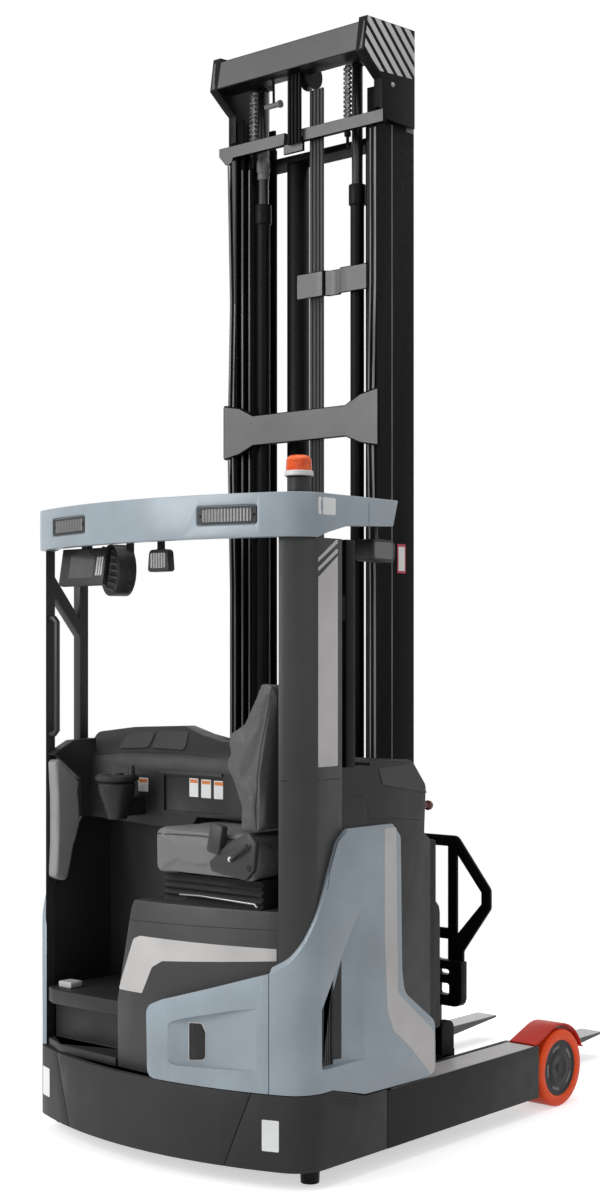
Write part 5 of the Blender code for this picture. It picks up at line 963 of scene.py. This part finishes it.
for way in ("right", "left"):
    for number in range(8):
        start = BAND_START + BAND_ACROSS * (BAND_PITCH * number + BAND_SHIFT)
        band = trimmed(CHEEK_FIELD, start, BAND_ACROSS)
        band = trimmed(band, start + BAND_ACROSS * BAND_WIDTH, -BAND_ACROSS) if len(band) > 2 else []
        if len(band) > 2:
            laid("head_band_%s_%d" % (way, number), band, way, "crosshead", *TRIM)
for ending, place, way in (
    ("right_outer", (-0.677, -0.3665, 3.696), (0, -1, 0)),
    ("right_inner", (-0.700, -0.3303, 3.655), (0, 1, 0)),
    ("left_outer", (-0.677, 0.3665, 3.696), (0, 1, 0)),
    ("left_inner", (-0.700, 0.3303, 3.655), (0, -1, 0)),
):
    lathed(
        "head_bolt_" + ending, [(0, 0.007), (0.005, 0.0065), (0.008, 0.003), (0.009, 0.0), (0, 0.0)], place,
        way, "middle_stage", *BRIGHT, steps=20,
    )
lathed(
    "hose_pin",
    [(0, 0.075), (0.009, 0.075), (0.010, 0.068), (0.010, 0.010), (0.014, 0.008), (0.014, 0.0), (0, 0.0)],
    (-0.760, 0.085, 3.700), (0, 1, 0), "middle_stage", *TIE, steps=20,
)
bar("hose_pin_strap", [(-0.760, 0.120, 3.695), (-0.760, 0.122, 3.790)], 0.005, "middle_stage", *BLACK)

# Lift chains. Leaf chain, packs of blued link plates on pins, greased and rubbed bright
# along their edges.
def rubbed_look(look, place_noise, span, colours, dull, grain=None):
    """One noise drives a finish's shade, over its own span, and its gloss and grain."""
    tree = look.node_tree
    stretch, scale, detail = place_noise
    rubbed = noise(tree, surface_place(tree, stretch), scale, detail)
    plug(
        look,
        Base_Color=tinted(tree, ranged(tree, rubbed, *span, 0.0, 1.0), *colours),
        Roughness=spread(tree, rubbed, *dull),
    )
    if grain:
        plug(look, Normal=bumped(tree, rubbed, *grain))
    return look


chain_steel = rubbed_look(
    new_look("chain_steel", (0.050, 0.050, 0.052), 0.34, metallic=0.5), ((1.0, 1.0, 2.0), 90.0, 4.0),
    (0.42, 0.62), ((0.012, 0.012, 0.012), (0.13, 0.13, 0.13)), (0.26, 0.46),
)
for node in ("lift_chain_right", "lift_chain_left"):
    finished(node, chain_steel, "mast_steel", edge=0.001)


# Lift rods. Ground, chromed bar, coloured dark as painted shade for the shade that it stands in,
# with the bleed fitting screwed round the left one.
shaded_rod = patchy_look(
    "shaded_rod", (0.040, 0.040, 0.041), 0.22, 40.0, (0.16, 0.3), (1.0, 1.0, 30.0), metallic=0.6,
)
for node in ("lift_rod_right", "lift_rod_left"):
    finished(node, shaded_rod, "bright_steel", edge=0.001)
lathed(
    "rod_fitting",
    [
        (0.0202, 0.110), (0.0220, 0.104), (0.0220, 0.090), (0.0206, 0.086), (0.0206, 0.078),
        (0.0245, 0.070), (0.0255, 0.050), (0.0245, 0.030), (0.0210, 0.024), (0.0225, 0.018),
        (0.0225, 0.006), (0.0202, 0.0), (0.0202, 0.110),
    ],
    (-0.700, 0.225, 3.455), (0, 0, 1), "middle_stage", tie_grey, "bright_steel",
)


# Forks. Forged arms with black scale on their sides, the load faces ground to bare
# light steel that pallets keep polished.
fork_steel = new_look("fork_steel", (0.30, 0.30, 0.30), 0.42)
tree = fork_steel.node_tree
drawn = noise(tree, surface_place(tree, (0.2, 12.0, 3.0)), 30.0, 5.0)
normal = added(tree, "TexCoord").outputs["Normal"]
facing = added(tree, "SeparateXYZ", links={"Vector": normal}).outputs["Z"]
load_face = ranged(tree, facing, 0.55, 0.8, 0.0, 1.0)
scale_black = tinted(tree, spread(tree, drawn), (0.012, 0.012, 0.012), (0.030, 0.030, 0.030))
polished = tinted(tree, spread(tree, drawn), (0.42, 0.42, 0.42), (0.62, 0.62, 0.62))
fork_colour = added(tree, "Mix", links={"Factor": load_face}, data_type="RGBA")
tree.links.new(scale_black, fork_colour.inputs["A"])
tree.links.new(polished, fork_colour.inputs["B"])
plug(
    fork_steel,
    Base_Color=fork_colour.outputs["Result"],
    Roughness=spread(tree, drawn, 0.34, 0.52),
    Normal=bumped(tree, drawn, 0.00015, 0.5),
)
for node in ("fork_right", "fork_left"):
    finished(node, fork_steel, "black_steel", edge=0.003, turns=3)


# Hoses. Four braided rubber lines in a flat bundle that feed the cylinders of the inner stages,
# clamped to the mast's middle tie.
rubber = grained_look("hose_rubber", (0.045, 0.045, 0.045), 0.40)
finished("hose_bundle", rubber, "hose_rubber", edge=0.0)


# Leg tops. Light-grey plates on the legs' upper faces, whose pale grey is partly a painted reflection
# of the bright room in the glossy black tops, with a dark strip of painted shade along their inner edge.
for ending, side in (("right", -1), ("left", 1)):
    leg = "leg_" + ending
    outline = [(-1.02, side * 0.516), (-1.02, side * 0.630), (-0.175, side * 0.630), (-0.175, side * 0.516)]
    laid(
        "leg_top_sheen_plate_" + ending, outline if side > 0 else outline[::-1], "top", leg, *TRIM, proud=0.0006,
        grid=0.3,
    )
    outline = [(-1.02, side * 0.496), (-1.02, side * 0.512), (-0.19, side * 0.512), (-0.19, side * 0.496)]
    laid("leg_edge_shade_strip_" + ending, outline, "top", leg, seam_black, "black_steel", proud=0.0010, grid=0.3)

# Wheels. Cast polyurethane tyres bonded to iron hubs: bright orange on the load wheels,
# plain dark tread on the drive wheel.
ORANGE = (0.93, 0.095, 0.016)
urethane = rubbed_look(
    new_look("orange_urethane", ORANGE, 0.36, shine=0.2), ((1.0, 1.0, 1.0), 55.0, 4.0),
    NOISE_SPAN, ((0.86, 0.072, 0.010), (0.98, 0.100, 0.014)), (0.30, 0.46), (0.0002, 0.3),
)
hub_iron = grained_look("hub_iron", (0.020, 0.021, 0.023), 0.42, shine=0.2)
hub_grey = sprayed_look("hub_grey", (0.11, 0.11, 0.12), 0.4)
HUB_PROFILE = [
    (0, 0.0060), (0.014, 0.0060), (0.017, 0.0030), (0.036, 0.0022), (0.040, 0.0040), (0.058, 0.0040),
    (0.062, 0.0020), (0.092, 0.0020), (0.096, 0.0050), (0.1015, 0.0050), (0.1030, 0.0034), (0.098, -0.0008),
    (0, -0.0008),
]
SLOT_REACH = 0.078
WHEEL_RADIUS = 0.1425
for ending, side in (("right", -1), ("left", 1)):
    finished("load_wheel_" + ending, urethane, "orange_urethane")
    body = "load_wheel_%s_body" % ending
    disc = "hub_disc_" + ending
    lathed(
        disc, HUB_PROFILE, (0.0, side * 0.625, WHEEL_RADIUS), (0, side, 0), body, hub_iron, "black_steel",
        steps=48,
    )
    for number in range(5):
        middle = 2 * math.pi * (number + 0.5) / 5
        arc = [
            (SLOT_REACH * math.cos(middle + turn), WHEEL_RADIUS + SLOT_REACH * math.sin(middle + turn))
            for turn in (-0.30, -0.20, -0.10, 0.0, 0.10, 0.20, 0.30)
        ]
        laid(
            "hub_slot_%s_%d" % (ending, number), ribbon(arc, 0.010), ending, disc, hub_grey, "black_steel",
            proud=0.0006, grid=0.02,
        )
tread = grained_look("drive_tread", (0.035, 0.034, 0.033), 0.6)
finished("drive_wheel", tread, "tread")


# Wheel guards. Pressed steel arches bolted to the legs over the load wheels, sprayed red-orange
# so that the ends of the legs are easily seen.
guard_paint = sprayed_look("red_orange_paint", (0.60, 0.022, 0.007), 0.36, shine=0.2)
for node in ("wheel_guard_right", "wheel_guard_left"):
    finished(node, guard_paint, "red_orange_paint", edge=0.0012)


# Beacon. A black socket with a white ring and a ribbed amber lens over a flashing lamp,
# screwed down on the fascia's front beam.
BEACON = (-1.050, -0.250, 2.1903)
amber = rubbed_look(
    new_look("amber_lens", (0.90, 0.11, 0.012), 0.24, shine=0.3, coat=0.12), ((1.0, 1.0, 1.0), 30.0, 3.0),
    (0.35, 0.65), ((0.80, 0.075, 0.008), (0.95, 0.16, 0.02)), (0.16, 0.28),
)
socket = lathed(
    "beacon_socket",
    [
        (0, 0.0), (0.0495, 0.0), (0.0495, 0.007), (0.039, 0.012), (0.0388, 0.050), (0.0395, 0.054),
        (0.0388, 0.058), (0.0388, 0.094), (0.0455, 0.100), (0, 0.100),
    ],
    BEACON, (0, 0, 1), "truck", *VENT_PLASTIC, steps=36,
)
ring = lathed(
    "beacon_ring",
    [(0, 0.1004), (0.047, 0.1004), (0.0498, 0.103), (0.0498, 0.116), (0.047, 0.1186), (0, 0.1186)], BEACON,
    (0, 0, 1), "truck", *PLATE, steps=36,
)
lens_profile = [(0, 0.1190), (0.0450, 0.1190)]
LENS_RIB = 0.0045
LENS_TAPER = 0.00022
for number in range(9):
    height = 0.1205 + number * LENS_RIB
    lens_profile += [
        (0.0455 - number * LENS_TAPER, height), (0.0440 - number * LENS_TAPER, height + 0.0022),
    ]
lens_profile += [(0.0400, 0.1640), (0.0300, 0.1715), (0.015, 0.1735), (0, 0.1738)]
lens = lathed("beacon_lens", lens_profile, BEACON, (0, 0, 1), "truck", amber, "amber_lens", steps=36)
for piece in (socket, ring, lens):
    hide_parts("beacon")


# Carriage block and side plates. The reach carriage's roller housing on the right leg,
# and the sheet that screens the battery, with its lifting hole.
moulded(
    "roller_housing",
    corners_rounded(
        [(-0.563, 0.260, 0.01), (-0.488, 0.260, 0.01), (-0.488, 0.380, 0.03), (-0.563, 0.385, 0.03)],
    ),
    "side", (-0.4985, -0.4702), "reach_mast", *BLACK, edge=0.004,
)
SCREEN = [(-1.000, 0.392, 0.0), (-0.712, 0.392, 0.01), (-0.712, 1.045, 0.012), (-1.000, 1.045, 0.0)]
WING = [(-0.800, 0.392, 0.0), (-0.672, 0.392, 0.01), (-0.672, 0.835, 0.045), (-0.800, 0.835, 0.0)]
SHEETS = (("screen", SCREEN, 0.5702, 0.582), ("wing", WING, 0.562, 0.5702))
for ending, side in (("right", -1), ("left", 1)):
    for name, outline, inner, outer in SHEETS:
        moulded(
            "battery_%s_%s" % (name, ending), corners_rounded(outline), "side",
            (side * inner, side * outer), "truck", leg_paint, "black_steel", edge=0.002,
        )
    lathed(
        "battery_eye_" + ending,
        [(0, 0.0004), (0.010, 0.0004), (0.012, 0.002), (0.014, 0.0004), (0.014, -0.001), (0, -0.001)],
        (-0.795, side * 0.582, 1.015), (0, side, 0), "truck", seam_black, "black_steel", steps=20,
    )


# Seat and side pad. Moulded foam in grey vinyl with a fine leather grain, sewn over
# the foam with a piped seam round each panel.
vinyl = grained_look("seat_vinyl", (0.078, 0.078, 0.080), 0.50, grain=0.0004, size=420.0)
# The cushion and the side pad take paler copies of the same grey vinyl, painted light for the light that
# falls on their faces.
cushion_lit_vinyl = grained_look("cushion_lit_vinyl", (0.150, 0.150, 0.152), 0.50, grain=0.0004, size=420.0)
pad_lit_vinyl = grained_look("side_pad_lit_vinyl", (0.260, 0.260, 0.262), 0.50, grain=0.0004, size=420.0)
piping = grained_look("seat_piping", (0.020, 0.020, 0.021), 0.45)
VOXEL = 0.006
FOAM_FRAMES = 20
SKIN_GAP = 0.0005
CLOTH = {
    "quality": 5, "mass": 0.3, "tension_stiffness": 20, "compression_stiffness": 20,
    "bending_stiffness": 2, "use_pressure": True, "uniform_pressure_force": 4.0,
}


def foam_filled(node, look, slack, swell):
    """Vinyl filled with foam: the CAD solid drawn in by slack, then blown out again as cloth."""
    source = frame["nodes"][node]
    mesh = source.data.copy()
    low, high = (Vector(corner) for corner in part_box(node))
    middle = (low + high) / 2
    for vertex in mesh.vertices:
        for axis in range(3):
            size = high[axis] - low[axis]
            offset = vertex.co[axis] - middle[axis]
            vertex.co[axis] = middle[axis] + offset * (size - 2 * slack[axis]) / size
    holder = bpy.data.objects.new(node + "_holder", mesh)
    scene.collection.objects.link(holder)
    skin = holder.modifiers.new("skin", "REMESH")
    skin.mode = "VOXEL"
    skin.voxel_size = VOXEL
    holder.data = applied(holder)
    before = [vertex.co.copy() for vertex in holder.data.vertices]
    cloth = holder.modifiers.new("foam", "CLOTH")
    for name, value in CLOTH.items():
        setattr(cloth.settings, name, value)
    cloth.settings.effector_weights.gravity = 0.0
    for step in range(1, FOAM_FRAMES + 1):
        scene.frame_set(step)
    holder.data = applied(holder)
    scene.frame_set(1)
    for vertex, start in zip(holder.data.vertices, before):
        move = vertex.co - start
        if move.length > swell:
            move = move.normalized() * swell
        place = start + move
        for axis in range(3):
            place[axis] = min(max(place[axis], low[axis] + SKIN_GAP), high[axis] - SKIN_GAP)
        vertex.co = place
    holder.modifiers.new("finer", "SUBSURF").levels = 1
    mesh = applied(holder)
    bpy.data.objects.remove(holder)
    piece = as_piece(node + "_foam", mesh, look, source["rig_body"])
    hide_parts(node)
    made[node] = piece


foam_filled("seat_cushion", cushion_lit_vinyl, (0.004, 0.004, 0.003), 0.006)
foam_filled("seat_back", vinyl, (0.005, 0.004, 0.003), 0.008)
foam_filled("side_pad", pad_lit_vinyl, (0.004, 0.004, 0.004), 0.008)
laid(
    "seat_back_seam",
    ribbon(
        [
            (-0.452, 1.125), (-0.448, 1.200), (-0.452, 1.300), (-0.470, 1.400), (-0.484, 1.450),
            (-0.515, 1.580),
        ],
        0.004,
    ),
    "rear", "seat_back", piping, "seat_vinyl", proud=0.0012, grid=0.02,
)
laid(
    "seat_cushion_seam", ribbon([(-0.440, 1.088), (-0.200, 1.092), (-0.012, 1.088)], 0.004), "rear",
    "seat_cushion", piping, "seat_vinyl", proud=0.0010, grid=0.02,
)
